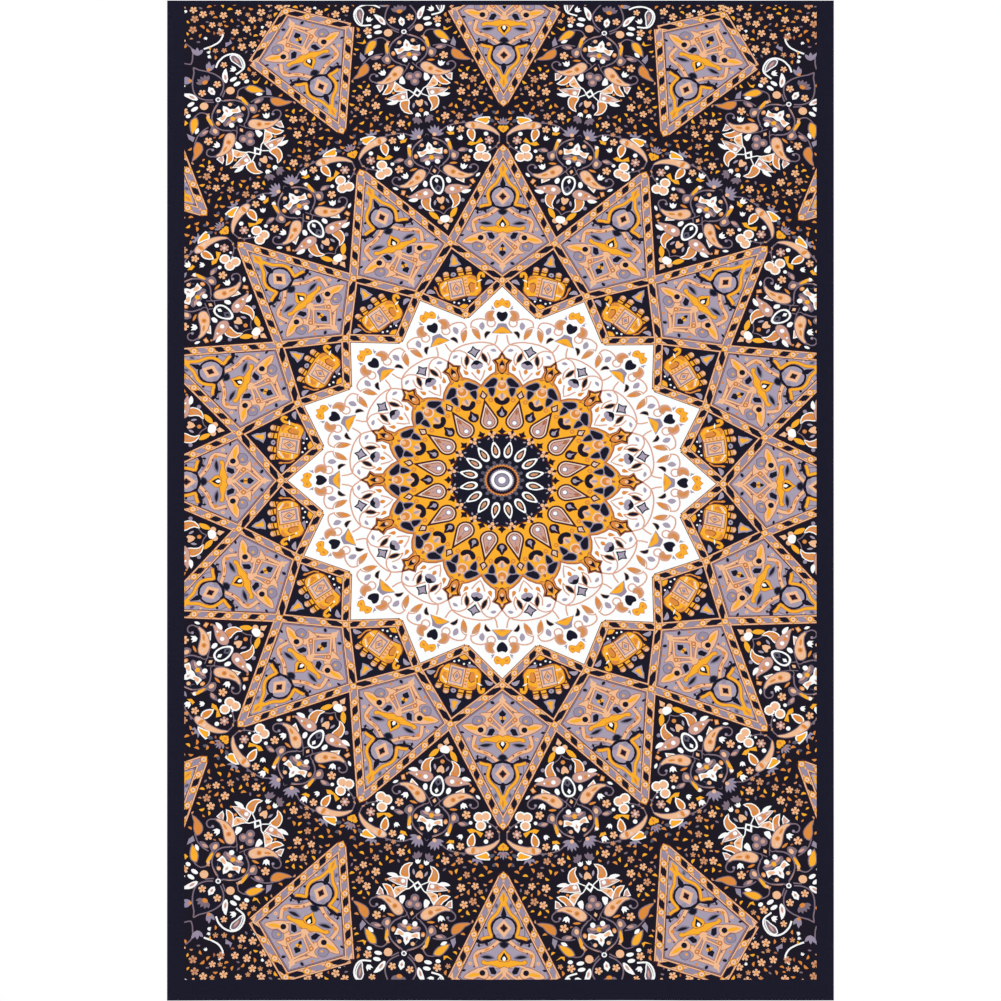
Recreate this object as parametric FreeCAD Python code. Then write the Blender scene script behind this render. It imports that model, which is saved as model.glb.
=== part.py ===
import FreeCAD, Part
import math
import os

# Printed cotton wall hanging with a rod sleeve turned to the back along its top edge.
# Millimetres. +Z is up, the printed face looks along -Y, and X runs across the cloth.
# The origin lies on the line that the hanging rod takes through the middle of the sleeve.

os.makedirs("parts", exist_ok=True)

# The cloth
WIDTH = 1524.0            # finished width, 60 in
HEIGHT = 2286.0           # finished height, 90 in
CLOTH = 0.4               # one layer of cotton percale

# The sleeve: 38 mm deep when pressed flat, eased open to a D by its rod
POCKET_HEIGHT = 31.0      # inside height, along the panel
POCKET_DEPTH = 14.0       # how far it stands open behind the panel
SLEEVE_FACETS = 9         # flats along the bow of the open sleeve; the middle one meets the wall
SEAM_ALLOWANCE = 10.0     # flat strip below the pocket, its raw edge turned under

# Hems and seams
HEM = 12.7                # double-turned hem, 1/2 in
TURNS = 2                 # layers of cloth that a turned edge adds behind the panel
THREAD = 0.3              # sewing thread as laid
SEAM_DROP = 3.0           # sleeve seam, below the foot of the pocket
SEAM_INSET = 2.0          # hem seams, in from the hem's folded inner edge
BARTACK_WIDTH = 1.6
BARTACK_LENGTH = 8.0
BARTACK_INSET = 7.0       # middle of a bartack, in from the side edge

# The blank care label that hangs from the sleeve's seam, behind one top corner
LABEL_WIDTH = 30.0
LABEL_LENGTH = 52.0
LABEL_THICKNESS = 0.6     # woven tape, folded double
LABEL_X = 690.0
LABEL_GAP = 0.3           # air between the label and the cloth around it
LABEL_CORNER = 1.5
LABEL_SEAM_RISE = 2.4     # label stitching, above the lower edge of the allowance

# Places that follow from the sizes above
HALF_WIDTH = WIDTH / 2
PANEL_BACK = -POCKET_DEPTH / 2
PANEL_FRONT = PANEL_BACK - CLOTH
HEM_BACK = PANEL_BACK + TURNS * CLOTH
HALF_POCKET = POCKET_HEIGHT / 2
BOW_RADIUS = (HALF_POCKET ** 2 + POCKET_DEPTH ** 2) / (2 * POCKET_DEPTH)
BOW_CENTRE = POCKET_DEPTH / 2 - BOW_RADIUS
OUTER_RADIUS = BOW_RADIUS + CLOTH


def bow_angle(radius, y):
    """Angle above the sleeve's centre line at which an arc of this radius meets plane y."""
    return math.acos((y - BOW_CENTRE) / radius)


TOP = OUTER_RADIUS * math.sin(bow_angle(OUTER_RADIUS, PANEL_BACK))
BOTTOM = TOP - HEIGHT
ALLOWANCE_FOOT = -TOP - SEAM_ALLOWANCE
SLEEVE_SEAM_Z = -TOP - SEAM_DROP


def block(x_low, x_high, y_low, y_high, z_low, z_high):
    """Rectangular solid between two opposite corners."""
    size = (x_high - x_low, y_high - y_low, z_high - z_low)
    return Part.makeBox(*size, FreeCAD.Vector(x_low, y_low, z_low))


def save(node, shape):
    """Write one sub-part to its own STEP file."""
    shape.exportStep("parts/" + node + ".step")


def bow(radius):
    """Corners along the bowed back of the sleeve, from its top fold down to the panel."""
    start = bow_angle(radius, PANEL_BACK)
    corners = []
    for step in range(SLEEVE_FACETS + 1):
        angle = start * (1 - 2 * step / SLEEVE_FACETS)
        y = BOW_CENTRE + radius * math.cos(angle)
        corners.append(FreeCAD.Vector(-HALF_WIDTH, y, radius * math.sin(angle)))
    return corners


def make_sleeve():
    """Sleeve cloth: over the top fold, bowed round the rod, then flat to its turned edge."""
    corners = bow(BOW_RADIUS) + bow(OUTER_RADIUS)[::-1]
    face = Part.Face(Part.makePolygon(corners + corners[:1]))
    pocket = face.extrude(FreeCAD.Vector(WIDTH, 0, 0))
    allowance = block(-HALF_WIDTH, HALF_WIDTH, PANEL_BACK, HEM_BACK, ALLOWANCE_FOOT, -HALF_POCKET)
    return pocket.fuse(allowance).removeSplitter()


def make_bartacks():
    """Dense bars of thread that lock both ends of the sleeve seam, on both faces of the cloth."""
    half_length = BARTACK_LENGTH / 2
    bars = []
    for side in (-1, 1):
        middle = side * (HALF_WIDTH - BARTACK_INSET)
        low = middle - BARTACK_WIDTH / 2
        high = middle + BARTACK_WIDTH / 2
        z_low = -TOP - SEAM_ALLOWANCE / 2 - half_length
        z_high = z_low + BARTACK_LENGTH
        bars.append(block(low, high, PANEL_FRONT - THREAD, PANEL_FRONT, z_low, z_high))
        bars.append(block(low, high, HEM_BACK, HEM_BACK + THREAD, z_low, z_high))
    return Part.makeCompound(bars)


def make_label():
    """Folded woven tape that hangs just clear of the cloth, with rounded lower corners."""
    front = PANEL_BACK + LABEL_GAP
    top = ALLOWANCE_FOOT - LABEL_GAP - LABEL_THICKNESS / 2
    low = LABEL_X - LABEL_WIDTH / 2
    label = block(low, low + LABEL_WIDTH, front, front + LABEL_THICKNESS, top - LABEL_LENGTH, top)
    foot = top - LABEL_LENGTH
    lower_corners = [
        edge for edge in label.Edges
        if abs(edge.CenterOfMass.z - foot) < 1e-6 and abs(edge.CenterOfMass.x - LABEL_X) > 1.0
    ]
    return label.makeFillet(LABEL_CORNER, lower_corners)


def save_seam(name, x_low, x_high, z_low, z_high):
    """Both threads of a lockstitched seam: needle thread in front, bobbin thread behind."""
    needle = block(x_low, x_high, PANEL_FRONT - THREAD, PANEL_FRONT, z_low, z_high)
    save(name + "_needle_thread", needle)
    bobbin = block(x_low, x_high, HEM_BACK, HEM_BACK + THREAD, z_low, z_high)
    save(name + "_bobbin_thread", bobbin)


# The cloth: the printed front panel and its turned edges
save("printed_panel", block(-HALF_WIDTH, HALF_WIDTH, PANEL_FRONT, PANEL_BACK, BOTTOM, TOP))
save("rod_sleeve", make_sleeve())
save("bottom_hem", block(-HALF_WIDTH, HALF_WIDTH, PANEL_BACK, HEM_BACK, BOTTOM, BOTTOM + HEM))
for name, side in (("left_hem", -1), ("right_hem", 1)):
    across = sorted((side * HALF_WIDTH, side * (HALF_WIDTH - HEM)))
    save(name, block(*across, PANEL_BACK, HEM_BACK, BOTTOM + HEM, ALLOWANCE_FOOT))
    seam = side * (HALF_WIDTH - HEM + SEAM_INSET)
    seam_low = BOTTOM + HEM
    save_seam(name, seam - THREAD / 2, seam + THREAD / 2, seam_low, ALLOWANCE_FOOT)

# The two seams that run across the cloth
inner_end = HALF_WIDTH - BARTACK_INSET - BARTACK_WIDTH
save_seam("sleeve_seam", -inner_end, inner_end, SLEEVE_SEAM_Z - THREAD / 2, SLEEVE_SEAM_Z + THREAD / 2)
hem_seam = BOTTOM + HEM - SEAM_INSET
save_seam("bottom_hem", -HALF_WIDTH, HALF_WIDTH, hem_seam - THREAD / 2, hem_seam + THREAD / 2)
save("sleeve_bartacks", make_bartacks())

# The care label and the row of thread that holds it
save("care_label", make_label())
label_seam = ALLOWANCE_FOOT + LABEL_SEAM_RISE
label_edges = (LABEL_X - LABEL_WIDTH / 2, LABEL_X + LABEL_WIDTH / 2)
save("label_stitching", block(*label_edges, HEM_BACK, HEM_BACK + THREAD, label_seam, label_seam + THREAD))

wall_face = BOW_CENTRE + OUTER_RADIUS * math.cos(bow_angle(OUTER_RADIUS, PANEL_BACK) / SLEEVE_FACETS)
print("cloth from", round(TOP, 4), "down to", round(BOTTOM, 4))
print("back of the sleeve at", round(wall_face, 4), "and its allowance ends at", round(ALLOWANCE_FOOT, 4))
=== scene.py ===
# Printed cotton wall hanging: one sheet of percale with a mandala printed on it, a rod sleeve
# turned to the back along the top, three turned hems, their stitching and a blank care label.
import math
import random

import bmesh
import bpy
import numpy as np
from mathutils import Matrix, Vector
from mathutils.bvhtree import BVHTree
from mathutils.geometry import delaunay_2d_cdt


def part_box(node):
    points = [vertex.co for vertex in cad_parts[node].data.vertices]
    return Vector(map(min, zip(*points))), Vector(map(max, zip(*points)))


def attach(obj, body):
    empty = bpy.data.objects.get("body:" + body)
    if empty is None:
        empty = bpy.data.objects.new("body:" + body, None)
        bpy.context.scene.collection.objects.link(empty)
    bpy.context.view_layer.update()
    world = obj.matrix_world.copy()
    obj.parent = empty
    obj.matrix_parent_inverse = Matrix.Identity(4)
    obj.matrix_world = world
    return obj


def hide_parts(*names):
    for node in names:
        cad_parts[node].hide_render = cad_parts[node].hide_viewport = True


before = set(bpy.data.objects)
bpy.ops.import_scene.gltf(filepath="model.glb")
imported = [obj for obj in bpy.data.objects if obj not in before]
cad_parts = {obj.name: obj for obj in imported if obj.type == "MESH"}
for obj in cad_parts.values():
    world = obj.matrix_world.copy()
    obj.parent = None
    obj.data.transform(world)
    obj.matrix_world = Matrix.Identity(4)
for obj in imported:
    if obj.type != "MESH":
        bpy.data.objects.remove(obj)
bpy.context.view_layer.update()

panel_low, panel_high = (Vector(corner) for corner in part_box("printed_panel"))
MM = 0.001                   # the print, the seams and the label are drawn in millimetres

# ---- The room ------------------------------------------------------------------------------
# A pale floor well below the cloth, a white backdrop far behind it, and big soft lights.
# The camera looks straight at the middle of the cloth, which fills the height of the frame.
width, height = panel_high.x - panel_low.x, panel_high.z - panel_low.z
middle = Vector((0, panel_low.y, (panel_low.z + panel_high.z) / 2))
SENSOR = 36.0                # mm
CAMERA_DISTANCE = 8.0
SHOWN_HEIGHT = height * 1.001

camera = bpy.data.objects.new("camera", bpy.data.cameras.new("camera"))
bpy.context.collection.objects.link(camera)
camera.data.sensor_width = SENSOR
camera.data.lens = SENSOR * CAMERA_DISTANCE / SHOWN_HEIGHT
camera.location = middle + Vector((0, -CAMERA_DISTANCE, 0))
camera.rotation_euler = (math.radians(90), 0, 0)
camera.data.clip_end = 60
bpy.context.scene.camera = camera
bpy.context.scene.view_settings.view_transform = "Standard"


def srgb(code):
    """Linear RGBA from an sRGB hex value."""
    parts = [int(code[i:i + 2], 16) / 255 for i in (1, 3, 5)]
    return [p / 12.92 if p <= 0.04045 else ((p + 0.055) / 1.055) ** 2.4 for p in parts] + [1.0]


def node(tree, kind, settings=None, **links):
    """Add one node with its settings, and link or set its inputs, named with _ for a space."""
    made = tree.nodes.new(kind)
    for key, value in (settings or {}).items():
        setattr(made, key, value)
    for key, value in links.items():
        name = key.replace("_", " ")
        socket = made.inputs[int(key[1:])] if key[0] == "i" and key[1:].isdigit() else made.inputs[name]
        if isinstance(value, bpy.types.NodeSocket):
            tree.links.new(value, socket)
        else:
            socket.default_value = value
    return made


def new_material(name):
    """A material with no nodes yet, and its node tree."""
    material = bpy.data.materials.new(name)
    material.use_nodes = True
    material.node_tree.nodes.clear()
    return material, material.node_tree


def plane(name, corners, material):
    """A flat staged sheet of the room."""
    mesh = bpy.data.meshes.new(name)
    mesh.from_pydata(corners, [], [range(4)])
    made = bpy.data.objects.new(name, mesh)
    bpy.context.collection.objects.link(made)
    mesh.materials.append(material)
    return made


floor_paint, tree = new_material("matt_floor_paint")
shader = node(tree, "ShaderNodeBsdfPrincipled", Base_Color=srgb("#e6e4e0"), Roughness=0.8)
node(tree, "ShaderNodeOutputMaterial", Surface=shader.outputs[0])
FLOOR_DROP = 1.6
FLOOR_HALF = 20
floor_z = panel_low.z - FLOOR_DROP
plane("floor", [(x * FLOOR_HALF, y * FLOOR_HALF, floor_z) for x, y in ((-1, -1), (1, -1), (1, 1), (-1, 1))],
      floor_paint)

backdrop_white, tree = new_material("lit_backdrop")
shader = node(tree, "ShaderNodeEmission", Color=(1, 1, 1, 1), Strength=1.0)
node(tree, "ShaderNodeOutputMaterial", Surface=shader.outputs[0])
BACKDROP_Y = 11.0
BACKDROP_HALF_WIDTH, BACKDROP_HALF_HEIGHT = 12, 8
backdrop = plane("backdrop", [(x * BACKDROP_HALF_WIDTH, BACKDROP_Y, z * BACKDROP_HALF_HEIGHT)
                              for x, z in ((-1, -1), (1, -1), (1, 1), (-1, 1))], backdrop_white)
backdrop.visible_diffuse = False
backdrop.visible_glossy = False

world = bpy.data.worlds.new("studio")
world.use_nodes = True
sky = world.node_tree.nodes["Background"].inputs
sky["Color"].default_value = (0.93, 0.96, 1.0, 1)
sky["Strength"].default_value = 0.66
bpy.context.scene.world = world


def soft_light(name, place, size, power):
    """A big square light that looks at the middle of the cloth."""
    light = bpy.data.lights.new(name, "AREA")
    light.size, light.energy = size, power
    made = bpy.data.objects.new(name, light)
    made.location = place
    made.rotation_euler = (middle - Vector(place)).to_track_quat("-Z", "Y").to_euler()
    bpy.context.collection.objects.link(made)


soft_light("key_light", (-4.2, -4.4, 1.2), 2.4, 140)
soft_light("fill_light", (4.4, -4.6, -1.6), 3.0, 92)
soft_light("back_light", (2.6, 4.6, 1.4), 2.6, 110)

# ---- Drawing the print ---------------------------------------------------------------------
# The print is drawn as flat inked shapes, in millimetres from its own centre, and each shape
# covers those before it. Sixteen sectors repeat round the centre, each mirrored on its middle.
SECTORS = 16
SECTOR = 2 * math.pi / SECTORS
art = []


def sector_shape(points, turn):
    """Points given across and outwards, turned clockwise from straight up."""
    c, s = math.cos(turn), math.sin(turn)
    return [(x * c + y * s, y * c - x * s) for x, y in points]


def lay(ink, points, offset, pair=False):
    for k in range(SECTORS):
        turn = (k + offset) * SECTOR
        art.append((ink, sector_shape(points, turn)))
        if pair:
            art.append((ink, sector_shape([(-x, y) for x, y in points], turn)))


def star(ink, points, pair=False):
    """A motif on every star arm, where the kites' points lie. A pair stands both sides of it."""
    lay(ink, points, 0.0, pair)


def bud(ink, points, pair=False):
    """A motif between every two star arms, where the elephants and the lotuses lie."""
    lay(ink, points, 0.5, pair)


def both(half):
    """A closed outline from its right half, given from the top down to the foot."""
    left = [(-x, y) for x, y in half if abs(x) > 1e-9]
    return half + left[::-1]


def oval(x, y, rx, ry, n=12):
    turns = [2 * math.pi * k / n for k in range(n)]
    return [(x + rx * math.sin(a), y + ry * math.cos(a)) for a in turns]


def disc(x, y, r, n=0):
    """A round dot. Small ones have fewer corners."""
    return oval(x, y, r, r, n or min(5 + round(r * 0.5), 16))


def scallops(r, depth, count):
    """A circle whose edge bulges outwards this many times."""
    points = []
    for k in range(count * 4):
        a = 2 * math.pi * k / (count * 4)
        reach = r + depth * abs(math.sin(math.pi * k / 4))
        points.append((reach * math.sin(a), reach * math.cos(a)))
    return points


def leaf(x0, y0, x1, y1, w, bend=0.0):
    """An almond from one tip to the other, w to each side, with its middle pushed to the right."""
    dx, dy = x1 - x0, y1 - y0
    length = math.hypot(dx, dy)
    nx, ny = dy / length, -dx / length
    side = []
    for t, wide in ((0.22, 0.72), (0.5, 1.0), (0.78, 0.72)):
        push = bend * 4 * t * (1 - t)
        side.append((x0 + dx * t + nx * push, y0 + dy * t + ny * push, wide * w))
    right = [(x + nx * half, y + ny * half) for x, y, half in side]
    left = [(x - nx * half, y - ny * half) for x, y, half in side]
    return [(x0, y0)] + right + [(x1, y1)] + left[::-1]


def drop(x, y, r, tip_x, tip_y, n=9):
    """A teardrop: a round end of radius r about x, y, drawn out to a tip."""
    dx, dy = tip_x - x, tip_y - y
    reach = math.hypot(dx, dy)
    along = math.atan2(dy, dx)
    open_angle = math.acos(min(r / reach, 1.0))
    points = [(tip_x, tip_y)]
    for k in range(n):
        a = along + open_angle + (2 * math.pi - 2 * open_angle) * k / (n - 1)
        points.append((x + r * math.cos(a), y + r * math.sin(a)))
    return points


def smooth(points, per=2, closed=True):
    """A rounded line through the points."""
    count = len(points)
    spans = count if closed else count - 1
    out = []
    for k in range(spans):
        if closed:
            a, b, c, d = (points[(k + j) % count] for j in (-1, 0, 1, 2))
        else:
            a, b, c, d = (points[min(max(k + j, 0), count - 1)] for j in (-1, 0, 1, 2))
        for i in range(per):
            t = i / per
            out.append(tuple(
                b[m] + 0.5 * t * (c[m] - a[m] + t * (2 * a[m] - 5 * b[m] + 4 * c[m] - d[m]
                                                     + t * (3 * (b[m] - c[m]) + d[m] - a[m])))
                for m in (0, 1)))
    return out if closed else out + [points[-1]]


def line(points, w):
    """A stroke of width w along an open line."""
    right, left = [], []
    last = len(points) - 1
    for k, (x, y) in enumerate(points):
        ax, ay = points[max(k - 1, 0)]
        bx, by = points[min(k + 1, last)]
        length = math.hypot(bx - ax, by - ay)
        nx, ny = (by - ay) / length * w / 2, (ax - bx) / length * w / 2
        right.append((x + nx, y + ny))
        left.append((x - nx, y - ny))
    return right + left[::-1]


def curve(points, w, per=3):
    """A rounded stroke."""
    return line(smooth(points, per, closed=False), w)


def area(points):
    return 0.5 * sum(a[0] * b[1] - b[0] * a[1] for a, b in zip(points, points[1:] + points[:1]))


def grow(points, by):
    """The outline moved outwards all round."""
    sign = 1 if area(points) > 0 else -1
    out = []
    for a, b, c in zip(points[-1:] + points[:-1], points, points[1:] + points[:1]):
        ux, uy = b[0] - a[0], b[1] - a[1]
        vx, vy = c[0] - b[0], c[1] - b[1]
        lu, lv = math.hypot(ux, uy) or 1.0, math.hypot(vx, vy) or 1.0
        nx, ny = uy / lu + vy / lv, -ux / lu - vx / lv
        size = nx * nx + ny * ny
        reach = min(2 / max(size, 1e-6), 1.6)
        out.append((b[0] + sign * nx * by * reach, b[1] + sign * ny * by * reach))
    return out


def edged(place, ink, points, edge, by, pair=False):
    """A shape with a printed outline round it."""
    place(edge, grow(points, by), pair)
    place(ink, points, pair)


def hoop(place, ink, x, y, r, w, pair=False, n=8):
    """A thin ring, as two half rings."""
    for start in (0, math.pi):
        arc = [(x + r * math.sin(start + math.pi * k / n), y + r * math.cos(start + math.pi * k / n))
               for k in range(n + 1)]
        place(ink, line(arc, w), pair)


def round_the_centre(half):
    """One closed outline round the centre, from points between a star arm and the next bud."""
    points = []
    for k in range(SECTORS):
        points += sector_shape(half, k * SECTOR)
        back = [(-x, y) for x, y in half[1:-1]][::-1]
        points += sector_shape(back, (k + 1) * SECTOR)
    return points


def on_bud(y):
    """A point on the bud line, in a star arm's own directions."""
    return (y * math.sin(SECTOR / 2), y * math.cos(SECTOR / 2))


# ---- The straps ----------------------------------------------------------------------------
# Patterned straps frame the star, the squares and the kites. Each is a peach strap with
# mustard squares along it, and navy and lavender lozenges between them.
STRAP = 10.0                 # half its width
INNER_STRAP = 7.2
STAR_TIP = 506.0             # all five from the centre, in mm
STAR_VALLEY = 426.0
SQUARE_CORNER = 613.0
KITE_TIP = 846.0
OUTER_KITE_TIP = 966.0
INVERTED = KITE_TIP + OUTER_KITE_TIP
corner_tip, corner_valley = (0.0, STAR_TIP), on_bud(STAR_VALLEY)
corner_outer, corner_kite = on_bud(SQUARE_CORNER), (0.0, KITE_TIP)


def upright(points):
    """The inner kites, as they are drawn."""
    return points


def inverted(points):
    """The outer kites are the inner ones turned to point inwards."""
    return [(x, INVERTED - y) for x, y in points]


def strap_ground(place, a, b, way=upright):
    dx, dy = b[0] - a[0], b[1] - a[1]
    length = math.hypot(dx, dy)
    over = 3.0               # it runs this far past both corners
    ends = [(a[0] - dx / length * over, a[1] - dy / length * over), (b[0] + dx / length * over,
        b[1] + dy / length * over)]
    place("maroon", way(line(ends, 2 * STRAP + 3.2)), True)


def strap(place, a, b, lozenges, way=upright):
    """A strap between two corners, with this run of lozenges. The squares stand between them."""
    dx, dy = b[0] - a[0], b[1] - a[1]
    length = math.hypot(dx, dy)
    ux, uy = dx / length, dy / length

    def spot(along, across):
        return (a[0] + ux * along + uy * across, a[1] + uy * along - ux * across)

    place("peach", way(line([a, b], 2 * STRAP)), True)
    place("brown", way(line([a, b], 2 * INNER_STRAP)), True)
    place("peach", way(line([a, b], 2 * INNER_STRAP - 2.6)), True)
    pitch = length / len(lozenges)
    half = pitch / 2 - STRAP * 0.62
    for k, ink in enumerate(lozenges):
        mid = pitch * (k + 0.5)
        shape = [spot(mid - half - 6.0, -3.4), spot(mid - half * 0.2, INNER_STRAP - 0.8),
                 spot(mid + half * 0.68, INNER_STRAP - 1.2), spot(mid + half + 6.0, 3.4),
                 spot(mid + half * 0.2, 0.8 - INNER_STRAP), spot(mid - half * 0.68, 1.2 - INNER_STRAP)]
        place(ink, way(shape), True)
    for k in range(1, len(lozenges)):
        strap_square(place, spot(pitch * k, 0), math.atan2(uy, ux), way, True)


def strap_square(place, centre, angle, way=upright, pair=False):
    """An orange square on its point, with a peach flower in it."""
    for ink, reach, turned in (("brown", 11.2, 0), ("mustard", 9.4, 0), ("pale", 6.2, 0.5)):
        points = []
        for k in range(4):
            a = angle + (k + turned) * math.pi / 2
            points.append((centre[0] + reach * math.cos(a), centre[1] + reach * math.sin(a)))
        place(ink, way(points), pair)
    place("orange", way(disc(*centre, 2.5, 6)), pair)


# ---- The centre ----------------------------------------------------------------------------
# A navy disc with rings, florets and sixteen white teardrops, inside the mustard star.
MUSTARD_STAR = [(0, 321), (7.5, 307), (19.5, 301), (12.8, 291), (13.2, 281), (13.6, 271), (25, 264),
    (38, 251)]
star_line = round_the_centre(MUSTARD_STAR + [on_bud(240)])

white_star = round_the_centre([(0, STAR_TIP), corner_valley])
art.append(("white", white_star))

# Fine rose lines on the white ground
bud("salmon", curve([(-62.6, 315), (-49.5, 338), (-25, 349), (0, 351.5), (25, 349), (49.5, 338),
    (62.6, 315)], 3.4))
bud("salmon", curve([(49, 338), (34, 339), (20, 331), (14, 320), (4, 308)], 3.2), True)
bud("salmon", line([(-15.5, 279), (-8, 264), (0, 254), (8, 264), (15.5, 279)], 3.4))
bud("salmon", curve([(30, 322), (33, 305), (27, 290)], 3.0), True)
star("salmon", curve([(10.7, 366), (13, 351), (17.4, 341)], 3.4), True)
star("salmon", curve([(72, 384), (70, 398), (61, 405), (48, 407), (36, 404), (33, 397)], 3.4), True)
hoop(star, "salmon", 25, 396, 9.4, 3.2, pair=True, n=6)
star("salmon", curve([(20, 428), (34, 424), (38.5, 411), (33, 400)], 3.0), True)
bud("salmon", curve([(3.5, 391), (9, 392), (19, 383), (21, 366), (19, 356)], 3.0), True)

# Motifs on the white ground
bud("tan", leaf(6, 389, 18.5, 357, 7.2, -2.5), True)
bud("orange", leaf(10.5, 377, 18, 358.5, 4.2, -2), True)
edged(bud, "lilac", both([(0, 340), (4.2, 333), (11.5, 330), (5.4, 325.4), (0, 318)]), "navy", 3.0)
bud("lilac", oval(0, 293, 14.2, 9))
bud("lavender", both([(0, 287), (9, 291), (0, 289)]))
bud("navy", smooth(both([(0, 307.5), (7, 304.5), (14.6, 295), (6.5, 298), (0, 294.5)])))
edged(bud, "navy", leaf(17.5, 323, 24, 297, 4.8, 0.6), "tan", 1.9, True)
bud("orange", leaf(24, 299, 26, 287, 1.6), True)
bud("orange", leaf(0, 271, 0, 285, 4.8))
star("lilac", leaf(45, 399, 45.5, 378, 6.6, -1), True)
star("lilac", leaf(12.5, 325, 27, 327.5, 4.0, -1), True)
edged(star, "navy", smooth([(38, 357), (40.5, 367), (35.5, 375), (26.5, 373.5), (31, 368), (34, 364)]),
    "pale", 1.4, True)
star("lavender", both([(0, 396), (9.5, 395), (14, 384), (24.5, 370.5), (0, 369)]))
star("mustard", smooth(both([(0, 387), (10, 382), (20.5, 371.5), (7, 370.5)])))
star("orange", leaf(-9, 374, 9, 374, 1.6, 1.2))
edged(star, "navy", smooth(both([(0, 423), (8, 426), (13, 419), (10.5, 409), (4.5, 402), (0, 400)])),
    "white", 3.0)
edged(star, "tan", smooth([(18, 426), (30, 425), (35.2, 415), (33.5, 405.5), (26, 401), (17.5, 406),
    (23, 415)]), "salmon", 1.3, True)
star("orange", smooth([(22, 423), (29.5, 420), (31.5, 411), (27, 405), (26.5, 414)]), True)
edged(star, "mustard", smooth(both([(0, 459), (6, 452), (13, 454), (18, 445), (14, 436), (6.5, 439),
    (0, 443)])), "orange", 1.5)
star("orange", leaf(6, 447, 14, 444, 2.6), True)
star("lilac", [(17, 430), (26, 432), (23.5, 437), (26.5, 442), (21, 438)], True)
star("orange", drop(27.5, 279, 4.8, 24, 291, 7), True)

# The mustard star and its crowns
art.append(("brown", grow(star_line, 3.0)))
art.append(("orange", star_line))
art.append(("mustard", grow(star_line, -3.0)))
star("maroon", both([(0, 325), (6, 308), (20, 302), (11.5, 292), (10, 276), (4, 268), (0, 266)]))
star("mustard", both([(0, 316), (4, 306), (13.5, 301), (8, 293), (6.8, 278), (0, 271)]))
art.append(("maroon", round_the_centre([(0, 116), (10, 116.5), (18, 120), on_bud(130)])))
art.append(("navy", round_the_centre([(0, 112.6), (10, 113.2), (17.5, 117), on_bud(125.6)])))
star("orange", both([(0, 305), (9, 297), (8, 280), (5, 272), (0, 270)]))
star("peach", disc(0, 309, 3.4, 7))
star("navy", both([(0, 303), (6, 291.5), (5, 283), (0, 281)]))
star("peach", disc(0, 285, 4.6, 8))
star("brown", leaf(0, 260, 0, 250, 3.4))
star("brown", curve([(3, 273), (9, 268), (17, 265)], 2.2), True)
star("pale", disc(0, 238, 13.2, 14))
star("orange", disc(0, 238.5, 10.4, 12))
star("peach", disc(0, 243, 5.2, 8))
edged(star, "navy", smooth([(-40, 236), (-30, 249), (-19.5, 257), (-11, 252), (-14.5, 240), (-25, 233)]),
    "lavender", 2.6, True)
edged(star, "navy", smooth([(-30.5, 231), (-17, 231), (-17.5, 220), (-22.4, 210), (-28.5, 219)]),
    "lavender", 2.4, True)
edged(star, "navy", smooth([(-16.7, 204), (-12, 207.5), (-7, 203), (0, 199), (7, 203), (12, 207.5),
    (16.7, 204), (13, 195), (0, 190), (-13, 195)]), "maroon", 1.6)
star("peach", disc(0, 206, 6.2, 8))
star("peach", disc(5.6, 211.5, 5.2, 8), True)
star("lilac", leaf(0, 203, 0, 221, 3.2))
star("orange", disc(25.6, 201, 6.0, 9), True)
star("mustard", disc(25.6, 201, 2.4, 6), True)
star("tan", leaf(34, 222, 33, 208, 2.0), True)
edged(star, "navy", smooth(both([(0, 184), (4.5, 177), (10.5, 172), (8.5, 163.5), (0, 158.5)])), "maroon",
    2.2)
star("lilac", both([(0, 180), (2.0, 172), (5.6, 168), (3.6, 162.5), (0, 161.5)]))
edged(star, "navy", both([(0, 131.5), (2.4, 125.5), (7.2, 122.5), (2.8, 119), (0, 115.5)]), "maroon", 1.6)
bud("maroon", drop(0, 150, 22.0, 0, 208, 12))
bud("pale", drop(0, 150, 17.8, 0, 196, 12))
bud("rust", drop(0, 150, 14.6, 0, 189, 12))
bud("rose", drop(0, 150, 12.8, 0, 185, 12))
bud("lavender", disc(0, 147, 7.4, 9))
bud("white", disc(0, 146.5, 5.0, 8))
bud("lavender", leaf(0, 153, 0, 167, 1.6))
bud("brown", leaf(0, 166, 0, 181, 3.4))
bud("pale", leaf(0, 185, 0, 194, 1.8))
edged(bud, "pale", both([(0, 226), (3, 219.5), (5.4, 216), (2.6, 212), (0, 210)]), "maroon", 3.4)
bud("tan", leaf(0, 214, 0, 223, 1.2))

# The navy disc
bud("peach", disc(5.6, 119, 4.4, 7), True)
bud("peach", disc(0, 111.5, 4.6, 8))
bud("orange", disc(0, 116, 2.6, 6))
bud("lilac", leaf(7, 110, 12.5, 105, 2.0), True)
bud("lilac", leaf(0, 106, 0, 98, 1.5))
bud("white", smooth(both([(0, 99), (6.2, 89), (9.6, 78), (9.8, 68), (6.0, 59), (0, 56)])))
bud("navy", smooth(both([(0, 92), (6.2, 78), (5.8, 68), (0, 62)])))
bud("tan", smooth(both([(0, 86), (3.6, 76), (3.4, 70), (0, 66)])))
for x, y in ((10.4, 62), (10.8, 69.5), (9.2, 77), (7.2, 84)):
    bud("lavender", disc(x, y, 1.1, 5), True)
star("slate", disc(0, 47, 4.4, 7))
for ink, r, depth, count in (("slate", 41.0, 2.0, 32), ("orange", 36.5, 3.6, 32), ("maroon", 34.2, 1.5, 32),
                             ("navy", 32.0, 1.6, 32), ("lavender", 26, 2.4, 32)):
    art.append((ink, scallops(r, depth, count)))
for ink, r in (("white", 24.5), ("slate", 18.0), ("lavender", 16.0), ("white", 8.4)):
    art.append((ink, disc(0, 0, r, 32)))

# ---- The flower field ------------------------------------------------------------------------
# The dark ground between and beyond the kites is full of flowers, leaves and curling stems. Two
# bouquets with the same lotus stand one above the other between every two star arms.


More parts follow.
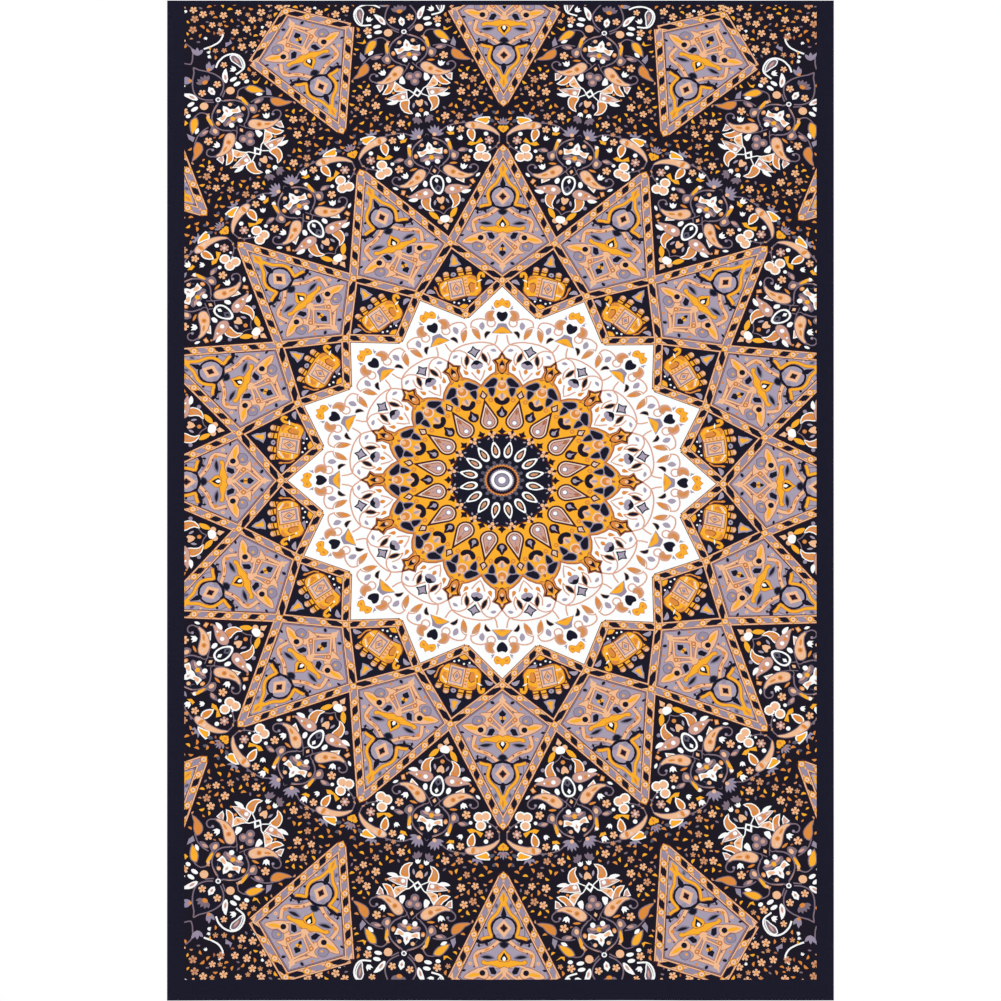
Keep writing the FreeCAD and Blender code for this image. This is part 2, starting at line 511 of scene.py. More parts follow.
def blossom(place, x, y, r, petals=5, ink="peach", eye="orange", pair=True):
    """A small open flower: round petals with gaps between them, and an eye."""
    points = []
    rounded = ((-0.3, 0.94), (0.0, 1.04), (0.3, 0.94), (0.5, 0.42)) if r > 8.5 else ((-0.24, 1.0),
        (0.24, 1.0), (0.5, 0.45))
    for k in range(petals):
        for lean, reach in rounded:
            a = 2 * math.pi * (k + lean) / petals
            points.append((x + r * reach * math.sin(a), y + r * reach * math.cos(a)))
    place(ink, points, pair)
    place(eye, disc(x, y, r * 0.32), pair)


def stem(place, points, w=2.0, ink="mauve", pair=True):
    place(ink, curve(points, w), pair)


def tulip(place, x, y, r, turn, pair=True):
    """A white bud with three points."""
    c, s = math.cos(turn), math.sin(turn)
    shape = ((0, -1), (0.75, -0.5), (0.95, 0.75), (0.4, 0.3), (0, 0.85), (-0.4, 0.3), (-0.95, 0.75),
        (-0.75, -0.5))
    place("white", [(x + r * (u * c + v * s), y + r * (v * c - u * s)) for u, v in shape], pair)


def halo_ground(half):
    """The dark ground inside a halo, from one side of its outline."""
    side = smooth(half, closed=False)
    return side + [(-x, y) for x, y in side[-2::-1]]


def bouquet(foot):
    """A lotus in a pointed halo, over two crossed stems that end in curling paisleys."""

    def motif(ink, points, pair=False):
        bud(ink, [(x, y + foot) for x, y in points], pair)

    stem(motif, [(30, -15), (14, 3), (0, 24)])
    stem(motif, [(24, 18), (13, 14), (11, 4)])
    edged(motif, "peach", smooth([(21, 3), (25, 12), (35, 14), (46, 6), (58, -7), (74, -17), (90, -18),
        (76, -24), (60, -25), (45, -21), (30, -12)]), "mauve", 2.2, True)
    stem(motif, [(84, -19), (96, -13), (100, -3), (94, 5), (86, 5), (81, -1)], 3.0)
    motif("lavender", disc(82.5, -0.5, 3.6), True)
    motif("orange", disc(41.5, -5, 6.0), True)
    motif("brown", disc(41.5, -5, 2.2), True)
    motif("orange", leaf(50, -11, 66, -19, 3.0), True)
    motif("pale", disc(50.5, -8, 2.0), True)
    motif("pale", disc(32, 6, 2.2), True)
    motif("peach", both([(0, 11), (4.4, 5.5), (0, -1)]))
    tulip(motif, 68, 5, 8.5, 0.45)
    motif("orange", leaf(37, 19, 56, 16, 3.0), True)

    # The halo, and the leaves and flowers on its shoulders
    halo = [(22, 19), (36, 30), (43, 44), (42, 62), (33, 77), (18, 87), (8, 92), (0, 103)]
    motif("mauve", smooth([(37, 85), (46, 78), (52, 62), (53, 50), (64, 43), (60, 30), (50, 24), (43, 33),
        (46, 46), (44, 64)]), True)
    motif("mustard", leaf(48, 80, 48, 50, 4.4, 1.5), True)
    motif("peach", leaf(41, 84, 45, 72, 3.6), True)
    motif("peach", oval(51, 37, 5.0, 7.0), True)
    motif("mauve", smooth([(62, 47), (72, 54), (83, 50), (88, 45), (76, 41)]), True)
    motif("rose", leaf(64, 47, 80, 48, 3.6), True)
    motif("navy", halo_ground(halo))
    motif("mauve", curve(halo, 3.4), True)
    motif("rose", curve([(33, 79), (20, 87.5), (10, 93)], 1.6), True)

    # The lotus
    motif("mauve", smooth([(5, 30), (20, 32), (27, 36), (22, 47), (0, 48), (-22, 47), (-27, 36), (-20, 32),
        (-5, 30)]))
    motif("rose", leaf(4, 40, 22, 35, 3.4), True)
    motif("white", both([(0, 82), (6, 74), (8, 66), (18, 60), (30, 62), (26, 46), (19, 47), (9, 52),
        (0, 50)]))
    motif("peach", smooth([(10, 60), (24, 57.5), (21, 50), (10, 55)]), True)
    motif("rose", both([(0, 72), (3.2, 67), (0, 60)]))
    motif("mustard", oval(0, 41, 5.6, 6.2))
    motif("white", oval(11.5, 28.5, 6.0, 6.4), True)
    motif("orange", oval(34.5, 50, 5.0, 6.2), True)
    motif("peach", oval(34.5, 51, 3.2, 4.2), True)
    motif("peach", disc(15.5, 76, 5.0), True)
    stem(motif, [(25, 66), (21, 73), (24, 77)], 1.6, "slate")
    blossom(motif, 78, 24, 10.0)


def heart_and_horns(foot):
    """A dark roundel with a heart in it, held by two orange horns."""

    def motif(ink, points, pair=False):
        bud(ink, [(x, y + foot) for x, y in points], pair)

    edged(motif, "orange", smooth([(24, 34), (40, 34), (43, 22), (37, 8), (22, 0), (28, 9), (27, 22)]),
        "white", 2.6, True)
    motif("tan", leaf(37, 31, 33, 8, 3.0, 1.5), True)
    motif("peach", both([(0, 30), (6, 33), (9.5, 29), (6, 19), (0, 13.5)]))
    motif("lilac", leaf(12, 27, 17, 13, 2.8), True)
    motif("orange", disc(0, 4.5, 5.2))
    motif("tan", disc(0, 4.5, 2.2))


# The first bouquet: a tulip in the valley, the roundel, an open pod and then the lotus
bud("peach", disc(11, 671, 7.0), True)
bud("peach", both([(0, 665), (7, 659), (0, 646)]))
bud("tan", disc(0, 663, 3.0))
bud("white", smooth([(0, 685), (9, 683), (11, 675), (5, 667), (-5, 667), (-11, 675), (-9, 683)]))
bud("mustard", smooth([(33, 700), (22, 697), (15, 688), (13, 677), (23, 680), (30, 689)]), True)
stem(bud, [(0, 688), (8, 697), (22, 704)], 2.2)
heart_and_horns(701)
bud("lavender", disc(49, 716, 5.0), True)
stem(bud, [(16, 744), (10, 750)], 2.0)
edged(bud, "rose", smooth([(14, 747), (20, 757), (31, 760), (47, 757), (62, 750), (73, 747), (60, 741),
    (42, 736), (22, 737)]), "mauve", 1.4, True)
bud("orange", disc(44, 749, 4.2), True)
bud("white", disc(31, 749, 5.4), True)
bud("white", disc(52, 748, 2.6), True)
bud("orange", disc(74, 750, 2.8), True)
bud("white", smooth([(50, 738), (60, 742), (73, 739), (66, 733), (56, 732)]), True)
bud("white", smooth(both([(0, 791), (10, 788), (16, 776), (15, 760), (8, 745), (0, 740)])))
bud("navy", smooth(both([(0, 786), (8, 783), (12, 774), (11, 761), (6, 750), (0, 746)])))
bud("white", both([(0, 784), (4.6, 777), (0, 770)]))
bud("slate", both([(0, 766), (8, 758), (5, 749), (0, 747)]))
bud("navy", both([(0, 760), (3.6, 756), (0, 750)]))
stem(bud, [(4, 791), (10, 798), (16, 801)], 2.0)
bud("white", smooth([(22, 778), (28, 781), (33, 772), (29, 765), (23, 768)]), True)
bud("white", [(39, 781), (45, 771), (61, 759), (64, 770), (54, 774), (46, 778)], True)
bud("peach", [(45, 777), (49, 771), (59, 763), (60, 769), (52, 772)], True)
bud("white", leaf(102, 778, 90, 770, 3.4), True)
bud("orange", [(74, 764), (83, 767), (87, 757), (80, 752)], True)
bud("peach", [(77, 763), (83, 764), (84, 757), (79, 755)], True)
bouquet(797)

# Trefoils, wings and a hanging leaf, under the crescent that joins the kite's point
for x, y in ((115, 840), (107, 821), (122, 816)):
    bud("white", disc(x, y, 12.6), True)
for x, y in ((115, 840), (107, 821), (122, 816)):
    bud("peach", disc(x, y, 9.0), True)
bud("rose", disc(114, 826, 2.6), True)
bud("mustard", [(86, 856), (94, 863), (107, 857), (120, 868), (124, 857), (108, 853), (96, 851)], True)
edged(bud, "orange", smooth([(95, 888), (94, 878), (101, 865), (107, 877), (107, 888), (101, 893)]),
    "white", 3.0, True)
blossom(bud, 138, 857, 10.5, 6, "rose", "pale")
for x, y, r in ((91, 838, 4.6), (134, 875, 5.4), (136, 838, 3.2), (129, 829, 2.6)):
    bud("white", disc(x, y, r), True)
stem(bud, [(163, 870), (161, 853), (152, 840), (139, 833), (128, 830)], 2.6)
edged(bud, "peach", smooth([(92, 903), (97, 911), (112, 911), (130, 903), (147, 892), (158, 879),
    (164, 864), (152, 876), (138, 885), (120, 892), (104, 894)]), "mauve", 2.0, True)
bud("orange", leaf(109, 893, 109, 911, 4.2), True)
bud("pale", disc(100, 903, 5.0), True)
bud("pale", disc(120, 901, 3.2), True)
edged(bud, "mustard", smooth([(119, 914), (128, 917), (148, 915), (145, 906), (139, 902), (130, 908)]),
    "white", 3.0, True)
bud("lavender", [(112, 921), (110, 932), (119, 925), (124, 936), (127, 925), (138, 930), (132, 920)], True)
stem(bud, [(36, 902), (50, 911), (75, 915), (96, 912)], 3.0)
for x, y in ((5, 914), (13, 920), (23, 921), (32, 916), (39, 906), (40, 895)):
    bud("lavender", leaf(20, 893, x, y, 3.6), True)
bud("peach", disc(18, 896, 5.0), True)
bud("navy", both([(0, 899), (13, 888), (8, 884), (0, 894)]))
tulip(bud, 57, 904, 8.8, 0.25)
bud("mustard", [(45, 897), (63, 894), (62, 887), (51, 888)], True)
blossom(bud, 79, 898, 9.0)
tulip(bud, 74, 876, 7.0, -0.5)
star("mustard", both([(0, 908), (4, 901), (12, 904), (8, 893), (0, 887)]))
star("orange", both([(0, 902), (3.6, 896), (0, 891)]))
for tip_x, tip_y in ((0, 928), (7, 925), (14, 918)):
    star("lavender", leaf(tip_x * 0.3, 908, tip_x, tip_y, 2.6), tip_x > 0)
star("slate", leaf(20, 915, 34, 923, 4.4), True)
star("slate", leaf(14, 936, 26, 944, 4.0), True)

# The second bouquet, with white-edged wings at its foot
for tip_x, tip_y in ((4, 930), (12, 927), (22, 932), (25, 942)):
    bud("mauve", leaf(13, 946, tip_x, tip_y, 4.0), True)
tulip(bud, 10, 952, 7.0, math.pi)
heart_and_horns(959)
edged(bud, "rose", [(25, 1016), (44, 1014), (70, 1007), (58, 1001), (46, 997), (27, 999)], "white", 2.4,
    True)
bud("orange", disc(45, 1006, 4.4), True)
bud("white", disc(34, 1005, 5.2), True)
bud("pale", leaf(50, 1007, 64, 1006, 2.2), True)
bud("white", smooth([(46, 999), (58, 1000), (74, 995), (64, 990), (52, 991)]), True)
bud("orange", disc(54, 1020, 3.6), True)
bud("orange", disc(73, 1009, 3.0), True)
edged(bud, "peach", [(22, 1021), (32, 1029), (43, 1043), (50, 1032), (48, 1024), (36, 1020)], "white", 2.2,
    True)
bud("orange", leaf(36, 1030, 46, 1026, 3.0), True)
edged(bud, "orange", smooth([(46, 1049), (58, 1048), (64, 1036), (76, 1022), (62, 1023), (54, 1032)]),
    "white", 2.6, True)
bud("rose", leaf(52, 1047, 57, 1034, 3.0), True)
edged(bud, "rose", [(72, 1047), (86, 1045), (83, 1031), (78, 1035)], "white", 2.4, True)
bud("white", both([(0, 1024), (11, 1009), (0, 998)]))
bud("navy", both([(0, 1016), (5.5, 1009), (0, 1004)]))
bud("white", line([(9, 1006), (24, 996)], 2.6), True)
bud("white", line([(8, 1010), (17, 1020), (26, 1024)], 2.6), True)
for x, y in ((9, 1056), (-9, 1056), (0, 1040)):
    bud("mauve", disc(x, y, 10.5))
for x, y in ((9, 1055), (-9, 1055), (0, 1041)):
    bud("rose", disc(x, y, 5.4))
bud("white", smooth([(28, 1063), (34, 1050), (35, 1042), (24, 1038), (22, 1048)]), True)
bouquet(1072)
stem(bud, [(58, 1126), (74, 1126), (92, 1120), (108, 1108)], 2.6)
edged(bud, "orange", smooth([(102, 1108), (97, 1097), (102, 1085), (116, 1078), (136, 1074), (124, 1084),
    (116, 1098)]), "mauve", 2.2, True)
stem(bud, [(42, 1158), (52, 1168), (66, 1168), (74, 1164)], 2.8)
edged(bud, "mustard", smooth([(68, 1162), (80, 1163), (90, 1152), (97, 1134), (84, 1139), (73, 1148)]),
    "mauve", 2.6, True)
bud("white", leaf(78, 1138, 92, 1128, 4.4), True)
bud("lavender", [(108, 1140), (112, 1126), (108, 1114), (98, 1122)], True)
bud("peach", disc(36, 1178, 10.0), True)
bud("mauve", line([(28, 1186), (12, 1174)], 3.0), True)
bud("white", disc(0, 1174, 6.4))
bud("slate", disc(0, 1174, 3.6))
upper_halo = [(10, 1180), (26, 1192), (36, 1210), (32, 1230), (20, 1250), (7, 1264), (0, 1277)]
bud("navy", halo_ground(upper_halo))
bud("mauve", curve(upper_halo, 3.2), True)
bud("white", both([(0, 1214), (7, 1206), (6, 1195), (0, 1189)]))
bud("rose", both([(0, 1206), (3.4, 1201), (0, 1195)]))
blossom(bud, 20.5, 1209, 9.0)
for x, y in ((0, 1242), (8, 1240), (14, 1234)):
    bud("mauve", leaf(x * 0.4, 1228, x * 1.25, y + 6, 4.2), x > 0)
bud("orange", oval(0, 1229, 7.0, 5.2))
bud("white", smooth([(38, 1200), (48, 1206), (60, 1232), (46, 1226), (38, 1214)]), True)
bud("rose", leaf(42, 1206, 49, 1221, 3.0), True)
for x, y in ((58, 1199), (58, 1184), (80, 1177)):
    bud("white", oval(x, y, 9.0 if x < 70 else 6.0, 4.8), True)
bud("mustard", [(92, 1172), (98, 1164), (112, 1168), (98, 1160), (90, 1162)], True)
for x, y in ((38, 1270), (44, 1256), (30, 1268)):
    bud("lavender", leaf(24, 1248, x, y, 4.4), True)
bud("orange", disc(25, 1252, 4.4), True)
bud("white", curve([(42, 1247), (56, 1257), (75, 1261), (93, 1256), (103, 1242), (102, 1222), (92, 1209),
    (70, 1206)], 4.2), True)
edged(bud, "mauve", smooth([(86, 1252), (94, 1250), (98, 1238), (96, 1224), (91, 1214), (88, 1226),
    (83, 1240)]), "white", 2.6, True)
bud("rose", leaf(90, 1247, 91, 1226, 2.4), True)
blossom(bud, 61, 1243, 8.0)
tulip(bud, 72, 1222, 8.0, -0.7)
blossom(bud, 81, 1192, 9.6)
stem(bud, [(0, 1287), (10, 1296), (24, 1318), (20, 1340)], 3.0)
for x, y in ((36, 1316), (44, 1304), (24, 1322)):
    bud("lavender", leaf(24, 1298, x, y, 4.6), True)
bud("white", curve([(46, 1304), (64, 1300), (86, 1300), (104, 1312), (104, 1330)], 4.0), True)
bud("lavender", [(90, 1280), (96, 1290), (104, 1286), (110, 1292), (108, 1280)], True)

# Small flowers, buds and commas fill the ground between them. Each keeps clear of the last.
random.seed(21)
taken = [(0, 671, 20), (22, 688, 12), (0, 720, 26), (33, 718, 14), (49, 716, 6), (40, 748, 18),
    (64, 742, 14), (0, 766, 25), (27, 773, 9), (50, 770, 14), (96, 774, 8), (80, 760, 9), (32, 803, 16),
    (52, 790, 14), (70, 780, 12), (92, 790, 13), (68, 802, 10), (46, 815, 10), (0, 845, 46), (50, 850, 20),
    (75, 845, 14), (78, 821, 12), (115, 827, 25), (105, 858, 14), (122, 858, 10), (101, 879, 14),
    (138, 857, 13), (152, 870, 14), (138, 892, 14), (110, 904, 16), (134, 911, 20), (90, 858, 8),
    (0, 900, 20), (25, 904, 20), (52, 905, 14), (79, 900, 11), (74, 877, 9), (56, 891, 10), (0, 950, 28),
    (0, 980, 30), (33, 978, 16), (48, 1005, 28), (70, 1000, 14), (0, 1012, 16), (40, 1032, 18),
    (64, 1036, 20), (82, 1038, 12), (0, 1048, 24), (28, 1050, 13), (32, 1078, 16), (52, 1065, 14),
    (74, 1056, 13), (94, 1064, 13), (68, 1078, 10), (46, 1090, 10), (78, 1096, 12), (0, 1120, 46),
    (50, 1125, 20), (75, 1120, 14), (104, 1092, 14), (122, 1080, 14), (82, 1148, 20), (60, 1164, 14),
    (86, 1132, 9), (106, 1127, 14), (36, 1176, 14), (0, 1174, 12), (0, 1222, 38), (20, 1240, 26),
    (48, 1216, 16), (58, 1192, 14), (80, 1184, 14), (100, 1166, 11), (32, 1258, 16), (50, 1252, 10),
    (72, 1258, 10), (93, 1234, 22), (61, 1242, 9), (72, 1222, 9), (84, 1208, 9), (0, 1282, 12),
    (28, 1308, 20), (80, 1304, 16), (100, 1286, 11)]


KITE_HALF_WIDTH = 119.6
KITE_POINT = 244.3           # from a kite's widest place to its tip
KITE_FOOT = 95.7             # and to its foot
OUTER_KITE_FOOT = 1306
KITE_CLEARANCE = 12          # room for the strap


def free_spot(x, y, r):
    """Whether a flower fits here: in its own half sector, beside the kites, clear of the rest."""
    edge = y * math.tan(SECTOR / 2)
    if x < r * 0.6 or x > edge - r * 0.6:
        return False
    turned_x = y * math.sin(SECTOR / 2) - x * math.cos(SECTOR / 2)
    turned_y = y * math.cos(SECTOR / 2) + x * math.sin(SECTOR / 2)
    inner_edge = (KITE_TIP - turned_y) * KITE_HALF_WIDTH / KITE_POINT
    outer_edge = min((turned_y - OUTER_KITE_TIP) * KITE_HALF_WIDTH / KITE_POINT,
                     (OUTER_KITE_FOOT - turned_y) * KITE_HALF_WIDTH / KITE_FOOT)
    clear_of_kites = turned_x > max(inner_edge, outer_edge) + KITE_CLEARANCE + r
    return clear_of_kites and all((x - a) ** 2 + (y - b) ** 2 > (r + c) ** 2 for a, b, c in taken)


FIELD_START, FIELD_DEPTH = 640, 800
for size, tries in ((9.0, 260), (6.4, 1500), (4.6, 3800)):
    for attempt in range(tries):
        y = FIELD_START + FIELD_DEPTH * random.random()
        x = random.random() * y * math.tan(SECTOR / 2)
        r = size * random.uniform(0.88, 1.12)
        kind = random.random()
        turn = random.uniform(0, 2 * math.pi)
        if not free_spot(x, y, r + 0.8):
            continue
        taken.append((x, y, r + 0.6))
        dx, dy = r * math.cos(turn), r * math.sin(turn)
        if size > 8:
            blossom(bud, x, y, r, 5, "peach" if kind < 0.65 else "tan", "orange" if kind < 0.5 else "brown")
        elif size > 6 and kind < 0.3:
            blossom(bud, x, y, r, 5, "tan", "orange")
        elif size > 6:
            bud("mustard" if kind < 0.6 else "orange", leaf(x - dx, y - dy, x + dx, y + dy, r * 0.5,
                r * 0.4), True)
        elif kind < 0.12:
            tulip(bud, x, y, r, turn)
        elif kind < 0.3:
            bud("mauve", leaf(x - dx, y - dy, x + dx, y + dy, r * 0.5), True)
        else:
            bud(("orange", "tan", "mustard", "brown")[attempt % 4], leaf(x - dx, y - dy, x + dx, y + dy,
                r * 0.52, r * 0.3), True)

# ---- The kites -----------------------------------------------------------------------------
# A lavender kite stands on each star arm, covered with peach strapwork round an arch. The outer
# ones are the same, turned to point inwards, and the field's edges cut them.


def kite(way):
    def motif(ink, points, pair=False):
        star(ink, way(points), pair)

    def band(points, w, per=1):
        for ink, wide in (("brown", w + 3.0), ("peach", w)):
            motif(ink, curve(points, wide, per), True)

    outline = both([(0, KITE_TIP), corner_outer, corner_tip])
    motif("lavender", outline)
    motif("rust", grow(outline, -13.0))
    motif("lilac", grow(outline, -14.4))

    # The foot: a framed diamond in a V, and the leaves of the side corners
    band([(0, 545), (27, 569), (37, 577)], 6.5)
    motif("peach", both([(0, 553), (5, 550), (8, 541), (4, 538), (0, 527)]))
    edged(motif, "peach", smooth([(52, 576), (40, 583), (38, 592), (44, 603), (36, 610), (24, 600),
        (20, 585), (26, 574), (38, 574)]), "brown", 1.5, True)
    band([(0, 611), (26.5, 583), (0, 553)], 4.6)
    motif("rust", disc(24, 570.5, 2.4), True)
    edged(motif, "orange", disc(28.5, 590.5, 4.6), "brown", 1.4, True)
    motif("pale", disc(28.5, 590.5, 1.8), True)
    motif("navy", both([(0, 600), (4, 595), (4.6, 590), (0, 588)]))
    motif("navy", both([(0, 583), (6, 581), (8.6, 575.5), (0, 566)]))
    motif("mustard", oval(0, 586, 8.4, 4.4))
    motif("rust", line([(0, 590), (0, 582)], 3.0))
    motif("orange", disc(42, 563.5, 3.6), True)
    motif("lavender", leaf(15, 556, 31, 542, 6.4), True)
    motif("navy", leaf(18, 552, 28, 545.5, 3.6), True)
    edged(motif, "lavender", smooth([(66, 600), (68, 592), (62, 583), (50, 584), (46, 593), (52, 601)]),
        "mauve", 1.8, True)
    motif("mustard", disc(53.5, 593.5, 3.0), True)
    edged(motif, "peach", smooth([(92, 603), (86, 612), (73, 620), (60, 626), (48, 628), (39, 621),
        (37, 608), (46, 601), (60, 606), (72, 600)]), "brown", 1.6, True)
    motif("mustard", leaf(86, 606, 52, 612, 4.6, 1.5), True)
    motif("navy", disc(50, 615, 7.0), True)
    motif("navy", leaf(98, 620, 87, 622, 3.0), True)
    motif("peach", both([(0, 634), (14, 632), (9, 624), (9, 617), (0, 606)]))
    band([(8, 629), (36, 631), (48, 627)], 4.6)
    band([(6, 618), (18, 607), (30, 600)], 4.6)
    motif("lilac", smooth([(38, 629), (25, 631), (14, 618), (20, 608), (32, 610), (38, 620)]), True)
    motif("navy", [(36, 628), (24, 629), (17, 617), (21, 611), (30, 613)], True)

    # Moustache, little onion and the pair of dark leaves
    motif("lavender", smooth([(58, 653), (44, 662), (28, 658), (20, 650), (34, 645)]), True)
    motif("slate", leaf(54, 653, 22, 650, 5.0, 1.0), True)
    motif("navy", leaf(51, 652.5, 27, 650.5, 3.2, 1.0), True)
    edged(motif, "mustard", smooth([(0, 646), (16, 645), (30, 643), (40, 641), (47, 645.5), (52, 640),
        (46, 635), (32, 634.5), (18, 631), (8, 628), (0, 631.5), (-8, 628), (-18, 631), (-32, 634.5),
        (-46, 635), (-52, 640), (-47, 645.5), (-40, 641), (-30, 643), (-16, 645)]), "brown", 1.6)
    edged(motif, "mustard", both([(0, 671), (5, 664), (13, 657), (15, 649), (9, 643), (0, 642)]), "brown",
        1.6)
    motif("navy", both([(0, 664), (5, 656), (9, 648), (5, 644), (0, 644)]))
    motif("white", both([(0, 655), (4, 650), (3.4, 645), (0, 643.5)]))

    # Crossed bands that come down from the diamond ring to the shoulders
    band([(0, 706), (12, 691), (25, 679), (40, 670), (58, 665), (67, 656), (66, 642), (62, 630)], 7.6, 2)
    motif("rust", disc(24.5, 677.5, 2.4), True)
    motif("rust", disc(53, 661.5, 2.6), True)
    motif("rust", disc(69, 630, 2.6), True)
    motif("orange", leaf(32, 674, 46, 667, 2.2), True)
    motif("orange", disc(62, 654.5, 4.8), True)
    motif("peach", disc(78, 637.5, 4.4), True)
    motif("orange", disc(78, 637.5, 1.8), True)
    motif("slate", both([(0, 695), (8, 690), (13, 684), (8, 676), (0, 672)]))
    motif("navy", both([(0, 692), (4, 688), (10, 684), (6, 677), (0, 674.5)]))

    # The arch with its dark shadow, the ring inside it and its finial
    motif("navy", curve([(62, 692), (54, 688), (40, 690), (28, 697), (18, 706)], 9.0, 2), True)
    motif("navy", smooth([(30, 710), (31, 700), (20, 694), (12, 701), (16, 710)]), True)
    motif("mauve", curve([(63, 681), (52, 679), (46, 684), (38, 679), (30, 687)], 2.6, 2), True)
    motif("navy", leaf(58, 686, 57, 675, 2.8), True)
    motif("navy", leaf(40, 690, 38, 678, 2.6), True)
    motif("navy", disc(0, 719.5, 31.4, 18))
    motif("lilac", disc(0, 720.5, 25.6, 16))
    motif("navy", both([(0, 774), (4.4, 762), (6.6, 754), (4, 744), (0, 742)]))
    edged(motif, "mustard", curve([(3, 782), (8, 770), (15, 756), (28, 743), (34.5, 728), (32, 711),
        (29, 701), (40, 699), (53, 695)], 6.4, 2), "brown", 1.5, True)
    motif("peach", both([(0, 742), (17.5, 721.5), (0, 699)]))
    motif("rust", both([(0, 733), (9.4, 721.5), (0, 710)]))
    motif("navy", both([(0, 732), (2.6, 724.5), (8.4, 721.5), (2.6, 718), (0, 711)]))
    motif("lavender", smooth([(7, 704), (15, 709), (19, 702), (12, 697)]), True)
    motif("mustard", both([(0, 811), (5, 799), (11, 794), (8, 787), (5, 776), (0, 772)]))
    motif("orange", leaf(0, 804, 0, 784, 2.4))
    motif("lavender", oval(16.5, 774, 6.0, 7.6), True)
    motif("slate", oval(16.5, 774, 3.2, 5.0), True)
    motif("navy", disc(41, 722, 3.4), True)
    motif("mauve", curve([(47, 700), (48, 714), (44, 730), (36, 748), (26, 764)], 2.2, 2), True)
    motif("peach", disc(27, 757, 3.0), True)
    motif("mauve", both([(0, 830), (6, 820), (2, 812), (0, 812)]))

    for start, end in ((corner_tip, corner_outer), (corner_outer, corner_kite)):
        strap_ground(motif, start, end)


for way in (upright, inverted):
    kite(way)

# ---- The squares and their elephants ---------------------------------------------------------
# A dark square stands between every two kites, and an elephant in a saddle cloth walks in it.
bud("navy", both([(0, SQUARE_CORNER), (98.7, 496.3), (0, STAR_VALLEY)]))
edged(bud, "mustard", both([(0, 578), (3.6, 571), (4.4, 564), (8, 556.5), (0, 555)]), "lilac", 4.2)
bud("lilac", smooth([(57, 492), (66, 503.5), (75, 501), (79, 493), (72, 494)]), True)
edged(bud, "mustard", both([(0, 452), (8, 449), (11.5, 441.5), (6, 436), (0, 431)]), "orange", 1.5)


def elephant(ink, points):
    """A part of the elephant in every square. It turns to face the other way at each quarter."""
    for k in range(SECTORS):
        faces_back = (k // 4) % 2
        art.append((ink, sector_shape([(-x, y) if faces_back else (x, y) for x, y in points],
            (k + 0.5) * SECTOR)))


elephant("lavender", leaf(-46, 476, -10, 462, 7.5, -2))
for x, y in ((-15, 458), (-3, 463), (10, 457), (20, 461)):
    elephant("white", disc(x, y, 2.6, 6))
LEGS = ((-27, 520, -28, 541), (-10, 520, -8, 543), (26, 514, 25, 537), (39, 506, 45, 528))
for x, y, foot_x, foot_y in LEGS:
    elephant("maroon", line([(x, y), (foot_x, foot_y)], 16.5))
    elephant("mustard", line([(x, y), (foot_x, foot_y - 2)], 12.4))
    elephant("maroon", line([(foot_x - 7, foot_y - 9.5), (foot_x + 7, foot_y - 9.5)], 3.0))
    elephant("tan", oval(foot_x, foot_y - 1, 7.4, 5.6, 8))
    elephant("peach", oval(foot_x, foot_y, 5.2, 3.6, 7))
elephant_body = smooth([(-44, 500), (-47, 487), (-43, 475), (-33, 468.5), (-14, 472), (8, 469), (25, 467.5),
    (38, 474), (45, 489), (45, 509), (36, 517), (2, 523), (-30, 523), (-42, 512)])
elephant("rust", grow(elephant_body, 2.4))
elephant("mustard", elephant_body)
elephant("maroon", curve([(-43, 490), (-46, 505), (-47, 516), (-53, 525), (-60, 521), (-58, 511)], 10.4, 2))
elephant("mustard", curve([(-43, 490), (-46, 505), (-47, 516), (-53, 524), (-59, 520), (-57.5, 512)], 6.6,
    2))
elephant("rust", curve([(-50, 519), (-54, 518), (-53.5, 513)], 1.2, 2))
elephant("white", leaf(-54, 507, -40, 502.5, 1.8))
elephant("orange", curve([(42, 475), (51, 484), (54, 500)], 3.4, 2))
elephant("orange", leaf(54, 498, 57, 510, 3.0))
elephant("orange", smooth([(-35, 497), (-27, 504), (-21, 495), (-23, 479), (-31, 480)]))
elephant("rust", curve([(-35, 498), (-27, 504.5), (-20.5, 495), (-22.5, 479)], 2.0, 2))
elephant("orange", smooth([(-40, 505), (-33, 512), (-22, 516), (-30, 521), (-40, 515)]))
elephant("orange", leaf(29, 505, 42, 492, 4.0))
elephant("white", disc(-37.5, 487, 2.4, 7))
elephant("rust", disc(-37.3, 487.2, 1.1, 5))
elephant("orange", leaf(-45, 479, -36, 471, 2.0))
elephant("peach", [(-19.5, 519), (-12.5, 519), (-11.5, 472.5), (-18, 471)])
for y in (478, 486.5, 495, 503.5, 512):
    elephant("orange", leaf(-19, y, -11.5, y, 2.4))
elephant("rust", [(-10.5, 520.5), (26.5, 518), (28, 468.5), (-10.5, 471)])
elephant("peach", [(-9, 519), (25, 516.6), (26.5, 470), (-9, 472.5)])
elephant("lavender", [(-6, 515.5), (22, 513.5), (23.4, 474.4), (-6, 476.5)])
elephant("peach", [(-2.6, 511), (18.6, 509.5), (19.8, 479), (-2.6, 480.5)])
elephant("brown", [(8, 509), (18, 494), (8.5, 480.5), (-2, 495)])
elephant("peach", [(8, 506), (15.4, 494.2), (8.4, 483.5), (0.8, 494.8)])
elephant("lavender", [(8, 501), (13, 494.5), (8.3, 488), (3, 494.8)])
elephant("pale", line([(-9, 514), (25, 512)], 1.5))
elephant("white", line([(28, 515), (41, 501.5)], 3.4))
elephant("orange", line([(30, 512.5), (40, 502)], 1.2))
elephant("white", line([(28.5, 483.5), (40, 482)], 3.4))
elephant("orange", line([(29.5, 483.3), (39, 482)], 1.2))
elephant("orange", leaf(30, 493, 40, 491, 3.2))
elephant("lilac", smooth([(2, 530), (8, 526), (15, 529), (12, 536), (5, 536)]))
elephant("navy", disc(8.5, 531, 1.8, 5))

